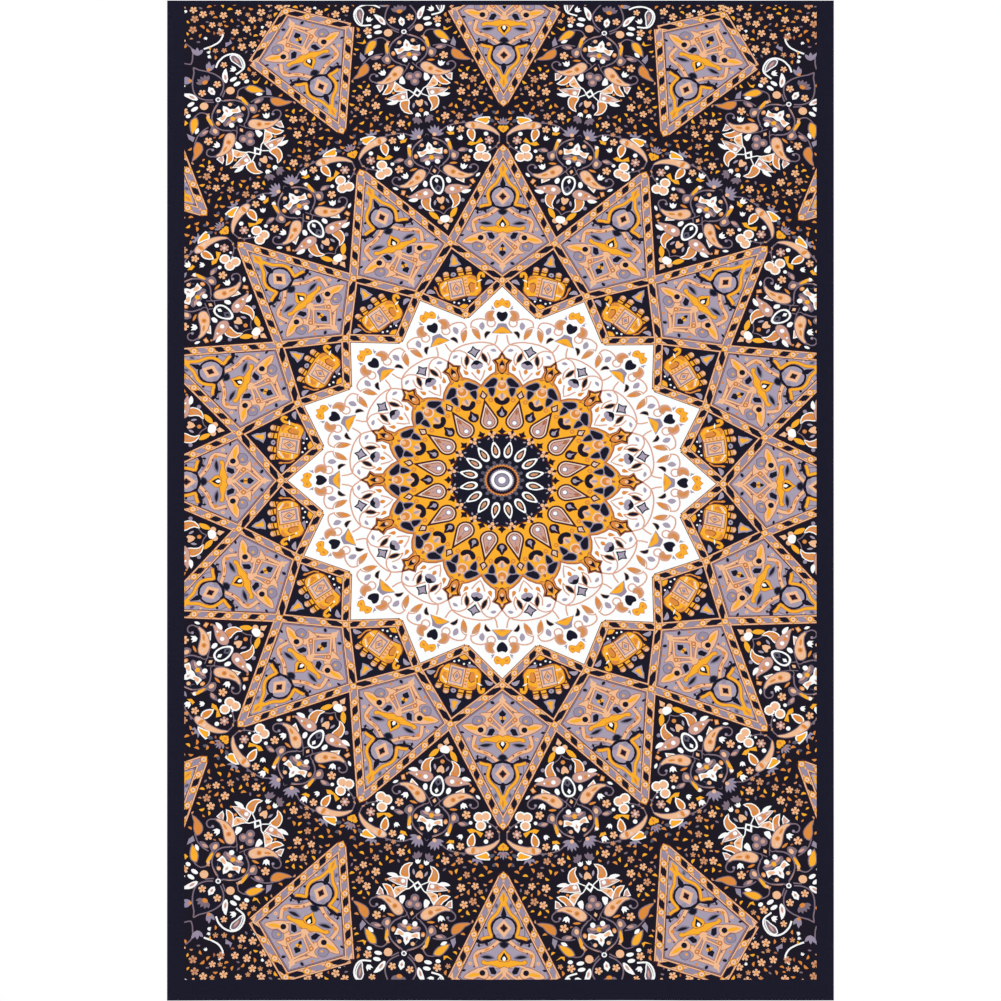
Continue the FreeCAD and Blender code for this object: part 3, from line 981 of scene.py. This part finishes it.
# The straps lie over the edges of the star, the squares and the kites
SHORT_RUN = ("navy", "lavender", "navy")
LONG_RUN = ("lavender", "navy", "lavender", "navy", "lavender", "navy", "lavender")
for start, end in ((corner_tip, corner_valley), (corner_tip, corner_outer), (corner_outer, corner_kite)):
    strap_ground(star, start, end)
strap(star, corner_tip, corner_valley, SHORT_RUN)
for way in (upright, inverted):
    strap(star, corner_tip, corner_outer, SHORT_RUN, way)
    strap(star, corner_outer, corner_kite, LONG_RUN, way)
for centre in ((0, STAR_TIP), (0, KITE_TIP)):
    strap_square(star, centre, 0)
    strap_square(star, centre, 0, inverted)
for r in (STAR_VALLEY, SQUARE_CORNER):
    strap_square(bud, (0, r), 0)

# ---- The printed panel ----------------------------------------------------------------------
# Plain-woven cotton percale, 1.52 by 2.29 m, screen printed on one side with pigment inks. The
# inks fill the weave a little, but here they share the bare cloth's weave.
PRINT_CENTRE = 1096.6        # below the top edge, in mm
PRINT_STRETCH = 0.915        # the print is squeezed a little along the cloth
PRINT_CREEP = 2.19e-5        # and stretches steadily towards the foot
PRINT_ASIDE = 3.2            # it lies this far to the right of the middle
PRINT_BOW = 18.0             # its sides hang this far below its middle, one metre out
PRINT_TILT = 8.0             # and it drops this far to the right, one metre out
PRINT_SWAY = 3.8             # its top and foot lie this far to the right, one metre from its centre
FIELD_HALF = 722.5           # the print stops here, inside its navy border
FIELD_TOP = 10.5
FIELD_FOOT = 2238.0
DRAPE_COLUMNS, DRAPE_ROWS = 42, 64      # points for the drape, 36 mm apart
LONGEST_LINE = 30.0          # a printed line has a point at least this often, to bend with the drape
top_mm, bottom_mm = panel_high.z / MM, panel_low.z / MM
half_mm = panel_high.x / MM
half_way = (top_mm + bottom_mm) / 2
field_low_z, field_high_z = top_mm - FIELD_FOOT, top_mm - FIELD_TOP


def on_cloth(points):
    """The print's own millimetres, turned to the cloth's x and z."""
    placed = []
    for x, y in points:
        up, out = y / 1000, x / 1000
        aside = PRINT_ASIDE + PRINT_SWAY * up * up
        down = PRINT_STRETCH * -y + PRINT_CREEP * y * y
        placed.append((x + aside, top_mm - PRINT_CENTRE - down - PRINT_BOW * out * out - PRINT_TILT * out))
    return placed


def cut_to(points, axis, limit, keep_above):
    """Cut an outline along one straight line, and keep one side."""
    out = []
    for a, b in zip(points[-1:] + points[:-1], points):
        inside_a = (a[axis] >= limit) == keep_above
        inside_b = (b[axis] >= limit) == keep_above
        if inside_a != inside_b:
            t = (limit - a[axis]) / (b[axis] - a[axis])
            cut = [a[0] + (b[0] - a[0]) * t, a[1] + (b[1] - a[1]) * t]
            cut[axis] = limit
            out.append(tuple(cut))
        if inside_b:
            out.append(b)
    return out


def in_field(points):
    """The part of an outline that lies inside the navy border."""
    for axis, limit, keep_above in ((0, -FIELD_HALF, True), (0, FIELD_HALF, False), (1, field_low_z, True),
                                    (1, field_high_z, False)):
        if points:
            points = cut_to(points, axis, limit, keep_above)
    return points


def without_doubles(points):
    """The outline without points that lie on the one before."""
    return [b for a, b in zip(points[-1:] + points[:-1], points) if math.dist(a, b) > 0.05]


def from_lowest(points):
    """The outline anticlockwise from its lowest point, where even one that crosses itself has an inside."""
    k = min(range(len(points)), key=lambda j: (points[j][1], points[j][0]))
    turned = points[k:] + points[:k]
    (ax, ay), (bx, by), (cx, cy) = turned[-1], turned[0], turned[1]
    if (bx - ax) * (cy - by) - (by - ay) * (cx - bx) < 0:
        turned = turned[:1] + turned[:0:-1]
    return turned


def rim_points():
    """Points round the edge of the cloth, and a grid of points inside it."""
    xs = [-half_mm + 2 * half_mm * k / DRAPE_COLUMNS for k in range(DRAPE_COLUMNS + 1)]
    zs = [bottom_mm + (top_mm - bottom_mm) * k / DRAPE_ROWS for k in range(DRAPE_ROWS + 1)]
    rim = [(x, bottom_mm) for x in xs[:-1]] + [(half_mm, z) for z in zs[:-1]]
    rim += [(x, top_mm) for x in xs[:0:-1]] + [(-half_mm, z) for z in zs[:0:-1]]
    return rim, [(x, z) for x in xs[1:-1] for z in zs[1:-1]]


def covers(outline, x, y):
    """Whether the outline winds round this point."""
    winding = 0
    ax, ay = outline[-1]
    for bx, by in outline:
        if (ay <= y) != (by <= y):
            side = (bx - ax) * (y - ay) - (x - ax) * (by - ay)
            if by > ay and side > 0:
                winding += 1
            elif by <= ay and side < 0:
                winding -= 1
        ax, ay = bx, by
    return winding != 0


def printed_areas(shapes):
    """Triangles of the flat print, and the ink of the last shape that covers each of them."""
    corners = ((-half_mm, bottom_mm), (half_mm, bottom_mm), (half_mm, top_mm), (-half_mm, top_mm))
    points = [Vector(corner) for corner in corners]
    faces = [[0, 1, 2, 3]]
    for _, outline in shapes:
        outline = from_lowest(outline)
        faces.append(list(range(len(points), len(points) + len(outline))))
        points += [Vector(p) for p in outline]
    flat, _, triangles, _, _, inside = delaunay_2d_cdt(points, [], faces, 1, 0.02, True)
    inks = []
    for corners, found in zip(triangles, inside):
        x = sum(flat[v][0] for v in corners) / 3
        y = sum(flat[v][1] for v in corners) / 3
        over = (k for k in sorted(found, reverse=True) if k and covers(shapes[k - 1][1], x, y))
        top_shape = next(over, 0)
        inks.append(ink_names.index(shapes[top_shape - 1][0] if top_shape else "border"))
    return flat, triangles, inks


def straighten(chain, flat, slack):
    """Leave out the points of a line that it would pass within this many millimetres of."""
    keep = {0, len(chain) - 1}
    spans = [(0, len(chain) - 1)]
    while spans:
        first, last = spans.pop()
        if last - first < 2:
            continue
        a, b = flat[chain[first]], flat[chain[last]]
        ax, ay, dx, dy = a[0], a[1], b[0] - a[0], b[1] - a[1]
        length = math.hypot(dx, dy)
        worst, far = -1.0, first
        for k in range(first + 1, last):
            px, py = flat[chain[k]][0] - ax, flat[chain[k]][1] - ay
            off = abs(px * dy - py * dx) / length if length > 1e-6 else math.hypot(px, py)
            if off > worst:
                worst, far = off, k
        if worst > slack:
            keep.add(far)
            spans += [(first, far), (far, last)]
    return [chain[k] for k in sorted(keep)]


def seen_lines(flat, triangles, inks, slack):
    """The lines where two inks meet, as chains of points between the places where lines join."""
    ink_beside, meets = {}, {}
    for t, (a, b, c) in enumerate(triangles):
        for edge in ((a, b), (b, c), (c, a)):
            key = edge if edge[0] < edge[1] else (edge[1], edge[0])
            if key not in ink_beside:
                ink_beside[key] = inks[t]
            elif ink_beside[key] != inks[t]:
                meets.setdefault(key[0], []).append(key[1])
                meets.setdefault(key[1], []).append(key[0])
    chains, used = [], set()
    starts = [v for v in meets if len(meets[v]) != 2] + list(meets)
    for start in starts:
        for step in meets[start]:
            if (start, step) in used:
                continue
            chain = [start, step]
            used.update(((start, step), (step, start)))
            while len(meets[chain[-1]]) == 2 and chain[-1] != start:
                ahead = meets[chain[-1]][0] if meets[chain[-1]][0] != chain[-2] else meets[chain[-1]][1]
                used.update(((chain[-1], ahead), (ahead, chain[-1])))
                chain.append(ahead)
            chains.append(straighten(chain, flat, slack))
    return chains


def size_of(flat, triangle):
    (ax, ay), (bx, by), (cx, cy) = (flat[v] for v in triangle)
    return abs((bx - ax) * (cy - ay) - (by - ay) * (cx - ax)) / 2


def patches(triangles, joined):
    """Groups of triangles that meet over edges, where joined says that they belong together."""
    beside = {}
    for t, (a, b, c) in enumerate(triangles):
        for edge in ((a, b), (b, c), (c, a)):
            beside.setdefault((min(edge), max(edge)), []).append(t)
    neighbours = [[] for _ in triangles]
    for edge, pair in beside.items():
        if len(pair) == 2:
            neighbours[pair[0]].append((pair[1], edge))
            neighbours[pair[1]].append((pair[0], edge))
    group = [None] * len(triangles)
    groups = []
    for seed in range(len(triangles)):
        if group[seed] is not None:
            continue
        group[seed] = len(groups)
        members = [seed]
        for t in members:
            for near, edge in neighbours[t]:
                if group[near] is None and joined(t, near, edge):
                    group[near] = len(groups)
                    members.append(near)
        groups.append(members)
    return groups, neighbours


def without_specks(flat, triangles, inks, smallest):
    """Patches of less than this many square millimetres take the ink that they share most edge with."""
    groups, neighbours = patches(triangles, lambda t, near, edge: inks[t] == inks[near])
    inks = list(inks)
    for members in groups:
        if sum(size_of(flat, triangles[t]) for t in members) < smallest:
            shared = {}
            for t in members:
                for near, (v, w) in neighbours[t]:
                    if inks[near] != inks[t]:
                        shared[inks[near]] = shared.get(inks[near], 0.0) + math.dist(flat[v], flat[w])
            if shared:
                for t in members:
                    inks[t] = max(sorted(shared), key=shared.get)
    return inks


def welded(point, points, near_by, reach):
    """The number of a point this close by that is already in the list, or of this one once added."""
    column, row = math.floor(point[0] / reach), math.floor(point[1] / reach)
    for i in (column - 1, column, column + 1):
        for j in (row - 1, row, row + 1):
            for k in near_by.get((i, j), ()):
                if math.dist(points[k], point) < reach:
                    return k
    near_by.setdefault((column, row), []).append(len(points))
    points.append(point)
    return len(points) - 1


def cloth_face(shapes, slack, smallest, weld):
    """One face of the cloth, as triangles that follow the seen lines of the print and a drape grid."""
    flat, triangles, inks = printed_areas(shapes)
    inks = without_specks(flat, triangles, inks, smallest)
    rim, grid = rim_points()
    points = [Vector(p) for p in rim]
    edges = [(k, (k + 1) % len(rim)) for k in range(len(rim))]
    edges.append((DRAPE_COLUMNS + DRAPE_ROWS // 2, 2 * DRAPE_COLUMNS + DRAPE_ROWS + DRAPE_ROWS // 2))
    place_of, near_by = {}, {}
    for chain in seen_lines(flat, triangles, inks, slack):
        for v in chain:
            if v not in place_of:
                place_of[v] = welded(flat[v], points, near_by, weld)
        for a, b in zip(chain, chain[1:]):
            start, end = place_of[a], place_of[b]
            steps = math.ceil(math.dist(points[start], points[end]) / LONGEST_LINE)
            between = [points[start].lerp(points[end], k / steps) for k in range(1, steps)]
            stops = [start] + list(range(len(points), len(points) + len(between))) + [end]
            points += between
            edges += [(c, d) for c, d in zip(stops, stops[1:]) if c != d]
    points += [Vector(p) for p in grid]
    made = delaunay_2d_cdt(points, edges, [], 0, 0.02, True)
    new_flat, new_edges, new_triangles, sources, edge_sources, _ = made
    lookup = BVHTree.FromPolygons([(p[0], p[1], 0.0) for p in flat], triangles)
    walls = {(min(edge), max(edge)) for edge, source in zip(new_edges, edge_sources) if source}
    found = [0] * len(new_triangles)
    for members in patches(new_triangles, lambda t, near, edge: edge not in walls)[0]:
        votes = {}
        for t in members:
            centre = sum((new_flat[v] for v in new_triangles[t]), Vector((0, 0))) / 3
            hit = lookup.ray_cast(Vector((centre.x, centre.y, 1.0)), Vector((0, 0, -1)))[2]
            if hit is not None:
                votes[inks[hit]] = votes.get(inks[hit], 0.0) + size_of(new_flat, new_triangles[t])
        ink = max(sorted(votes), key=votes.get) if votes else 0
        for t in members:
            found[t] = ink
    rim_at = {}
    for k, source in enumerate(sources):
        for index in source:
            if index < len(rim):
                rim_at[index] = k
    return new_flat, new_triangles, found, [rim_at[k] for k in range(len(rim))]


INKS = {"ground": "#130d1d", "border": "#100f24", "navy": "#100e22", "slate": "#5b5868",
        "lavender": "#978ba0", "lilac": "#a89cae", "mauve": "#7d6b78", "mustard": "#fbae29",
        "orange": "#df8a3b", "tan": "#d0946c", "peach": "#f3bb90", "rose": "#cf9c8b", "salmon": "#dba38c",
        "pale": "#ecd0c0", "brown": "#ad6743", "rust": "#7e3f2c", "maroon": "#4a1a1e", "white": "#fdfdfb"}
BARE_CLOTH = "#e6dfd4"
SEEN_THROUGH = 0.42          # how far the inks pale towards the bare cloth on its back
ink_names = list(INKS)

shapes = [("ground", [(-FIELD_HALF, field_low_z), (FIELD_HALF, field_low_z), (FIELD_HALF, field_high_z),
                      (-FIELD_HALF, field_high_z)])]
for ink, points in art:
    outline = without_doubles(in_field(on_cloth(points)))
    if len(outline) > 2 and abs(area(outline)) > 1.0:
        shapes.append((ink, outline))


FOLD_DEPTH = 1.15 * MM
STRAIGHT_TOP = 0.045         # the sleeve and its seam
FULL_DRAPE = 1.3             # below that, the folds grow over this length


def drape(x, z):
    """How far the hung cloth stands off its flat plane, in metres. The rod keeps the top straight."""
    x, z = np.asarray(x, float), np.asarray(z, float)
    below = np.clip((panel_high.z - STRAIGHT_TOP - z) / FULL_DRAPE, 0, 1)
    hang = below * below * (3 - 2 * below)
    folds = (0.95 * np.sin(9.1 * x + 0.55 * z + 0.4) + 0.7 * np.sin(15.7 * x - 0.8 * z + 1.9)
             + 0.45 * np.sin(26.0 * x + 0.5 * z + 0.7) + 0.35 * np.sin(5.3 * z + 2.2 * x))
    return FOLD_DEPTH * folds * hang


def slope_normals(x, z, facing):
    """Surface normals of the hung cloth, towards the front or the back."""
    step = 2 * MM
    across = (drape(x + step, z) - drape(x - step, z)) / (2 * step)
    upwards = (drape(x, z + step) - drape(x, z - step)) / (2 * step)
    normals = np.stack([across, -np.ones_like(across), upwards], axis=1)
    normals /= np.linalg.norm(normals, axis=1)[:, None]
    return normals if facing < 0 else -normals


def cotton(name, code):
    """Printed percale: a dull, slightly fuzzy surface, with slubs that catch the light.

    The real threads lie 0.3 mm apart. The slubs are drawn 1.6 mm wide so that they show.
    """
    material, tree = new_material(name)
    place = node(tree, "ShaderNodeTexCoord").outputs["Object"]
    upright_slubs = node(tree, "ShaderNodeMapping", Vector=place, Scale=(620, 620, 48)).outputs[0]
    cross_slubs = node(tree, "ShaderNodeMapping", Vector=place, Scale=(48, 620, 620)).outputs[0]
    warp = node(tree, "ShaderNodeTexNoise", Vector=upright_slubs, Scale=1.0, Detail=1.0).outputs["Fac"]
    weft = node(tree, "ShaderNodeTexNoise", Vector=cross_slubs, Scale=1.0, Detail=1.0).outputs["Fac"]
    threads = node(tree, "ShaderNodeMath", {"operation": "ADD"}, i0=warp, i1=weft).outputs[0]
    bump = node(tree, "ShaderNodeBump", Height=threads, Strength=0.35, Distance=0.0004).outputs[0]
    rough = node(tree, "ShaderNodeMapRange", Value=threads, i1=0.6, i2=1.4, i3=0.82, i4=0.95).outputs[0]
    shader = node(tree, "ShaderNodeBsdfPrincipled", Base_Color=srgb(code), Roughness=rough, Normal=bump,
                  IOR=1.47, Specular_IOR_Level=0.22)
    node(tree, "ShaderNodeOutputMaterial", Surface=shader.outputs[0])
    return material


def mixed(code, other, share):
    """A hex colour, moved this far towards another."""
    pairs = [(int(code[i:i + 2], 16), int(other[i:i + 2], 16)) for i in (1, 3, 5)]
    return "#" + "".join("%02x" % round(a + (b - a) * share) for a, b in pairs)


def made_piece(name, vertices, faces, materials, slots=None, body="hanging"):
    """A piece from its own mesh, in place and smooth shaded."""
    mesh = bpy.data.meshes.new(name)
    mesh.from_pydata(vertices, [], faces)
    for material in materials:
        mesh.materials.append(material)
    if slots is not None:
        mesh.polygons.foreach_set("material_index", slots)
    mesh.update()
    mesh.shade_smooth()
    made = bpy.data.objects.new(name, mesh)
    bpy.context.collection.objects.link(made)
    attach(made, body)
    return made


ink_prints = {name: cotton(name + "_print", INKS[name]) for name in ink_names}

# The printed face, in an upper and a lower half that share the points between them
flat, triangles, inks, _ = cloth_face(shapes, slack=0.4, smallest=4.0, weld=1.0)
for half in ("upper", "lower"):
    chosen = [t for t, corners in enumerate(triangles)
              if (sum(flat[v][1] for v in corners) / 3 > half_way) == (half == "upper")]
    used = sorted({v for t in chosen for v in triangles[t]})
    number = {v: k for k, v in enumerate(used)}
    x_m, z_m = (np.array([flat[v][k] for v in used]) * MM for k in (0, 1))
    front = np.stack([x_m, panel_low.y + drape(x_m, z_m), z_m], axis=1)
    faces = [[number[v] for v in triangles[t]] for t in chosen]
    face = made_piece("printed_face_" + half, front.tolist(), faces, list(ink_prints.values()),
                      [inks[t] for t in chosen])
    face.data.normals_split_custom_set_from_vertices(slope_normals(x_m, z_m, -1).tolist())

# The back of the cloth, where only the larger printed shapes show through, and the cloth's edges
LARGE = 700                  # square millimetres
large = [(ink, points) for ink, points in shapes if abs(area(points)) > LARGE]
back_flat, back_triangles, back_inks, back_rim = cloth_face(large, slack=0.8, smallest=20.0, weld=2.0)
x_m, z_m = (np.array([p[k] for p in back_flat]) * MM for k in (0, 1))
back = np.stack([x_m, panel_high.y + drape(x_m, z_m), z_m], axis=1).tolist()
faces = [list(t)[::-1] for t in back_triangles]
slots = list(back_inks)
rim_start = len(back)
rim_x, rim_z = x_m[back_rim], z_m[back_rim]
back += np.stack([rim_x, panel_low.y + drape(rim_x, rim_z), rim_z], axis=1).tolist()
for k in range(len(back_rim)):
    after = (k + 1) % len(back_rim)
    faces.append([rim_start + k, rim_start + after, back_rim[after], back_rim[k]])
    slots.append(ink_names.index("border"))
seen_through = [cotton(name + "_seen_through", mixed(INKS[name], BARE_CLOTH, SEEN_THROUGH)) for name in INKS]
panel = made_piece("printed_cotton_panel", back, faces, seen_through, slots)
normals = np.concatenate([slope_normals(x_m, z_m, 1), slope_normals(rim_x, rim_z, 1)])
panel.data.normals_split_custom_set_from_vertices(normals.tolist())
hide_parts("printed_panel")

# ---- The rod sleeve --------------------------------------------------------------------------
# The top 64 mm of the same cloth, turned over to the back, print outwards, and sewn down to make
# a tunnel for a hanging rod. It is eased open, and flat where it would touch the wall.
LAYER = 0.36                 # a little under the cloth's 0.4 mm, to stay clear of its neighbours
HALF_CLOTH = 0.2
SLEEVE_HALF_HEIGHT = 15.5
SLEEVE_DEPTH = 14.0
SLEEVE_STEPS = 190           # rings along it, 8 mm apart
back_mm = panel_high.y / MM
sleeve_high_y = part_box("rod_sleeve")[1].y / MM
allowance_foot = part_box("rod_sleeve")[0].z / MM
bow_radius = (SLEEVE_HALF_HEIGHT ** 2 + SLEEVE_DEPTH ** 2) / (2 * SLEEVE_DEPTH) + HALF_CLOTH
bow_centre = back_mm + SLEEVE_DEPTH - bow_radius + HALF_CLOTH


def strip_outline(path):
    """The closed outline of one layer of cloth that follows this path, its left side first."""
    left, right = [], []
    for k, (x, y) in enumerate(path):
        ax, ay = path[max(k - 1, 0)]
        bx, by = path[min(k + 1, len(path) - 1)]
        length = math.hypot(bx - ax, by - ay)
        nx, ny = (ay - by) / length * LAYER / 2, (bx - ax) / length * LAYER / 2
        left.append((x + nx, y + ny))
        right.append((x - nx, y - ny))
    return left + right[::-1]


SHARP = math.radians(50)     # corners of a strip that are steeper than this stay crisp


def strip_piece(name, rings, materials, body="hanging"):
    """A strip of cloth swept through these outlines, with the first material on its first side."""
    count = len(rings[0])
    vertices = [point for ring in rings for point in ring]
    faces, slots = [], []
    for k in range(len(rings) - 1):
        for j in range(count):
            after = (j + 1) % count
            faces.append([k * count + j, k * count + after, (k + 1) * count + after, (k + 1) * count + j])
            slots.append(0 if j < count // 2 else len(materials) - 1)
    faces += [list(range(count))[::-1], [len(vertices) - count + j for j in range(count)]]
    slots += [0, 0]
    made = made_piece(name, vertices, faces, materials, slots, body)
    shell = bmesh.new()
    shell.from_mesh(made.data)
    bmesh.ops.recalc_face_normals(shell, faces=shell.faces)
    shell.to_mesh(made.data)
    shell.free()
    made.data.set_sharp_from_angle(angle=SHARP)
    return made


border_print = ink_prints["border"]
border_back = bpy.data.materials["border_seen_through"]
lean = math.acos((back_mm - bow_centre) / bow_radius)
bow = [lean * (1 - 2 * k / 40) for k in range(1, 39)]
sleeve_path = [(back_mm - HALF_CLOTH, bow_radius * math.sin(lean))]
wall_y = sleeve_high_y - HALF_CLOTH
sleeve_path += [(min(bow_centre + bow_radius * math.cos(a), wall_y), bow_radius * math.sin(a)) for a in bow]
sleeve_path += [(back_mm + 0.9, -16.3), (back_mm + 0.6, -17.2), (back_mm + 0.6, allowance_foot + 0.4),
                (back_mm + 0.4, allowance_foot + 0.2), (back_mm + 0.2, allowance_foot + 0.4),
                (back_mm + 0.2, -17.6)]
rings = []
for k in range(SLEEVE_STEPS + 1):
    x = -half_mm + 2 * half_mm * k / SLEEVE_STEPS
    ring = []
    for y, z in strip_outline(sleeve_path):
        slack_here = max(0.0, min(1.0, (y - back_mm - 1.0) / 6.0)) * max(0.0, min(1.0, (12.0 - z) / 24.0))
        wrinkle = 0.30 + 0.16 * math.sin(x * 0.083) + 0.14 * math.sin(x * 0.197 + 1.3)
        ring.append((x * MM, (y - slack_here * wrinkle) * MM, z * MM))
    rings.append(ring)
sleeve = strip_piece("turned_rod_sleeve", rings, [border_print, border_back])
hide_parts("rod_sleeve")

# ---- The hems --------------------------------------------------------------------------------
# Both sides and the foot of the cloth are turned twice to the back, 12.7 mm wide, with the raw
# edge inside and the dark border of the print outwards. They lie flat on the cloth and hang with it.
HEM = 12.7
SIDE_STEPS, FOOT_STEPS = 112, 96        # rings along them, 16 and 20 mm apart
hem_section = [(0.2, 0.0), (0.2, 0.4), (0.5, 0.6), (HEM - 0.4, 0.6), (HEM - 0.2, 0.4), (HEM - 0.4, 0.2),
               (1.4, 0.2)]
for node_name, side in (("left_hem", -1), ("right_hem", 1)):
    low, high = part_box(node_name)
    rings = []
    for k in range(SIDE_STEPS + 1):
        z = low.z + (high.z - low.z) * k / SIDE_STEPS
        ring = []
        for inwards, y in strip_outline(hem_section):
            x = side * (panel_high.x - inwards * MM)
            ring.append((x, panel_high.y + y * MM + float(drape(x, z)), z))
        rings.append(ring)
    hem = strip_piece("turned_" + node_name, rings, [border_print, border_back])
    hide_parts(node_name)

rings = []
for k in range(FOOT_STEPS + 1):
    x = panel_low.x + width * k / FOOT_STEPS
    ring = []
    for upwards, y in strip_outline(hem_section):
        z = panel_low.z + upwards * MM
        ring.append((x, panel_high.y + y * MM + float(drape(x, z)), z))
    rings.append(ring)
hem = strip_piece("turned_bottom_hem", rings, [border_print, border_back])
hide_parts("bottom_hem")

# ---- The seams -------------------------------------------------------------------------------
# Every seam is a lockstitch, 3 mm to the stitch, in dark polyester thread: the needle thread lies
# on the front and the bobbin thread on the back. Each stitch dips into the cloth at both ends.
STITCH = 3.0
THREAD = 0.3
STITCH_PATH = ((0.05, -0.4), (0.22, 0.42), (0.78, 0.42), (0.95, -0.4))      # along, and up in thread widths


def thread_polyester(name, code):
    """Spun polyester thread: matt, with a twist of about 1 mm."""
    material, tree = new_material(name)
    place = node(tree, "ShaderNodeTexCoord").outputs["Object"]
    twist = node(tree, "ShaderNodeTexWave", {"bands_direction": "DIAGONAL"}, Vector=place, Scale=330.0,
                 Distortion=0.6).outputs["Fac"]
    bump = node(tree, "ShaderNodeBump", Height=twist, Strength=0.4, Distance=0.0001).outputs[0]
    shader = node(tree, "ShaderNodeBsdfPrincipled", Base_Color=srgb(code), Roughness=0.62, Normal=bump,
                  IOR=1.5, Specular_IOR_Level=0.35)
    node(tree, "ShaderNodeOutputMaterial", Surface=shader.outputs[0])
    return material


navy_thread = thread_polyester("navy_sewing_thread", "#23222f")


def tube(path, radius, sides, vertices, faces):
    """A round thread along a path in metres, added to these vertices and faces."""
    start = len(vertices)
    for k, here in enumerate(path):
        along = Vector(path[min(k + 1, len(path) - 1)]) - Vector(path[max(k - 1, 0)])
        across = along.cross(Vector((0, 1, 0))).normalized()
        out = across.cross(along).normalized()
        for j in range(sides):
            a = 2 * math.pi * (j + 0.5) / sides
            vertices.append(tuple(Vector(here) + radius * (math.cos(a) * across + math.sin(a) * out)))
    for k in range(len(path) - 1):
        for j in range(sides):
            a, b = start + k * sides + j, start + k * sides + (j + 1) % sides
            faces.append([a, b, b + sides, a + sides])
    faces += [[start + j for j in range(sides)][::-1], [len(vertices) - sides + j for j in range(sides)]]


def stitches(name, node_name, start, end, facing):
    """A row of stitches between two points (x, z), on the front (-1) or the back (1) of the cloth."""
    low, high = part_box(node_name)
    surface = high.y if facing < 0 else low.y
    count = round(math.dist(start, end) / (STITCH * MM))
    vertices, faces = [], []
    for k in range(count):
        path = []
        for t, rise in STITCH_PATH:
            x, z = (a + (b - a) * (k + t) / count for a, b in zip(start, end))
            y = surface + facing * rise * THREAD * MM + float(drape(x, z))
            path.append((x, y, z))
        tube(path, THREAD * MM / 2, 4, vertices, faces)
    row = made_piece(name, vertices, faces, [navy_thread])
    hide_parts(node_name)


for seam in ("left_hem", "right_hem", "sleeve_seam", "bottom_hem"):
    for thread, facing in (("needle_thread", -1), ("bobbin_thread", 1)):
        low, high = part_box(seam + "_" + thread)
        if high.z - low.z > high.x - low.x:
            ends = ((low.x + high.x) / 2, low.z), ((low.x + high.x) / 2, high.z)
        else:
            ends = (low.x, (low.z + high.z) / 2), (high.x, (low.z + high.z) / 2)
        stitches(seam + "_" + thread + "_stitches", seam + "_" + thread, *ends, facing)

# The bartacks: a dense zigzag, 8 mm long, that locks each end of the sleeve's seam on both faces
BARTACK_WIDTH = 1.6
BARTACK_TURNS = 32
low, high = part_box("sleeve_bartacks")
vertices, faces = [], []
for side in (-1, 1):
    inner, outer = side * (high.x - BARTACK_WIDTH * MM), side * high.x
    for surface in (low.y, high.y):
        path = []
        for k in range(BARTACK_TURNS + 1):
            x = (inner, outer)[k % 2]
            y = surface + (THREAD / 2 if surface == low.y else -THREAD / 2) * MM
            path.append((x, y, low.z + (high.z - low.z) * k / BARTACK_TURNS))
        tube(path, THREAD * MM / 2, 5, vertices, faces)
bartacks = made_piece("zigzag_bartacks", vertices, faces, [navy_thread])
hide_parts("sleeve_bartacks")

# ---- The care label --------------------------------------------------------------------------
# A blank loop of woven polyester tape, 30 mm wide and folded to 52 mm long, sewn in under the
# sleeve's allowance at one top corner. It can be turned up on its upper edge.
label_low, label_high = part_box("care_label")
label_length = (label_high.z - label_low.z) / MM
LABEL_CORNER = 1.5
LABEL_WIDTH = 30.0
LABEL_CURL = 1.3             # its foot stands this far off the cloth
label_section = [(0.14, 0.0), (0.14, 8.0), (0.14, 20.0), (0.14, 34.0), (0.14, label_length - 1.0),
                 (0.18, label_length - 0.4), (0.3, label_length - 0.14), (0.42, label_length - 0.4),
                 (0.46, label_length - 1.0), (0.46, 34.0), (0.46, 20.0), (0.46, 8.0), (0.46, 0.0)]

# Off-white polyester: its smooth yarns give a faint sheen, broken by ribs across the tape
woven_tape, tree = new_material("woven_satin_label_tape")
place = node(tree, "ShaderNodeTexCoord").outputs["Object"]
ribs = node(tree, "ShaderNodeTexWave", {"bands_direction": "Z"}, Vector=place, Scale=560.0, Distortion=0.3)
bump = node(tree, "ShaderNodeBump", Height=ribs.outputs["Fac"], Strength=0.3, Distance=0.0001).outputs[0]
shader = node(tree, "ShaderNodeBsdfPrincipled", Base_Color=srgb("#e8e3d8"), Roughness=0.5, Normal=bump,
              IOR=1.5)
node(tree, "ShaderNodeOutputMaterial", Surface=shader.outputs[0])

rings = []
for inset in (0.0, 0.15, 0.5, 1.0, 1.5, 5.0, 10.0, 15.0, 20.0, 25.0, 28.5, 29.0, 29.5, 29.85, 30.0):
    near_edge = max(0.0, LABEL_CORNER - min(inset, LABEL_WIDTH - inset))
    lift = LABEL_CORNER - math.sqrt(max(0.0, LABEL_CORNER ** 2 - near_edge ** 2))
    ring = []
    for y, down in strip_outline(label_section):
        curl = LABEL_CURL * (down / label_length) ** 2 * (0.8 + 0.2 * math.cos((inset - 15) / 6))
        z = label_high.z - min(down, label_length - lift) * MM
        ring.append((label_low.x + inset * MM, label_low.y + (y + curl) * MM, z))
    rings.append(ring)
label = strip_piece("blank_care_label", rings, [woven_tape], body="label")
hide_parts("care_label")

low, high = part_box("label_stitching")
label_row = (low.x, (low.z + high.z) / 2), (high.x, (low.z + high.z) / 2)
stitches("label_stitches", "label_stitching", *label_row, 1)
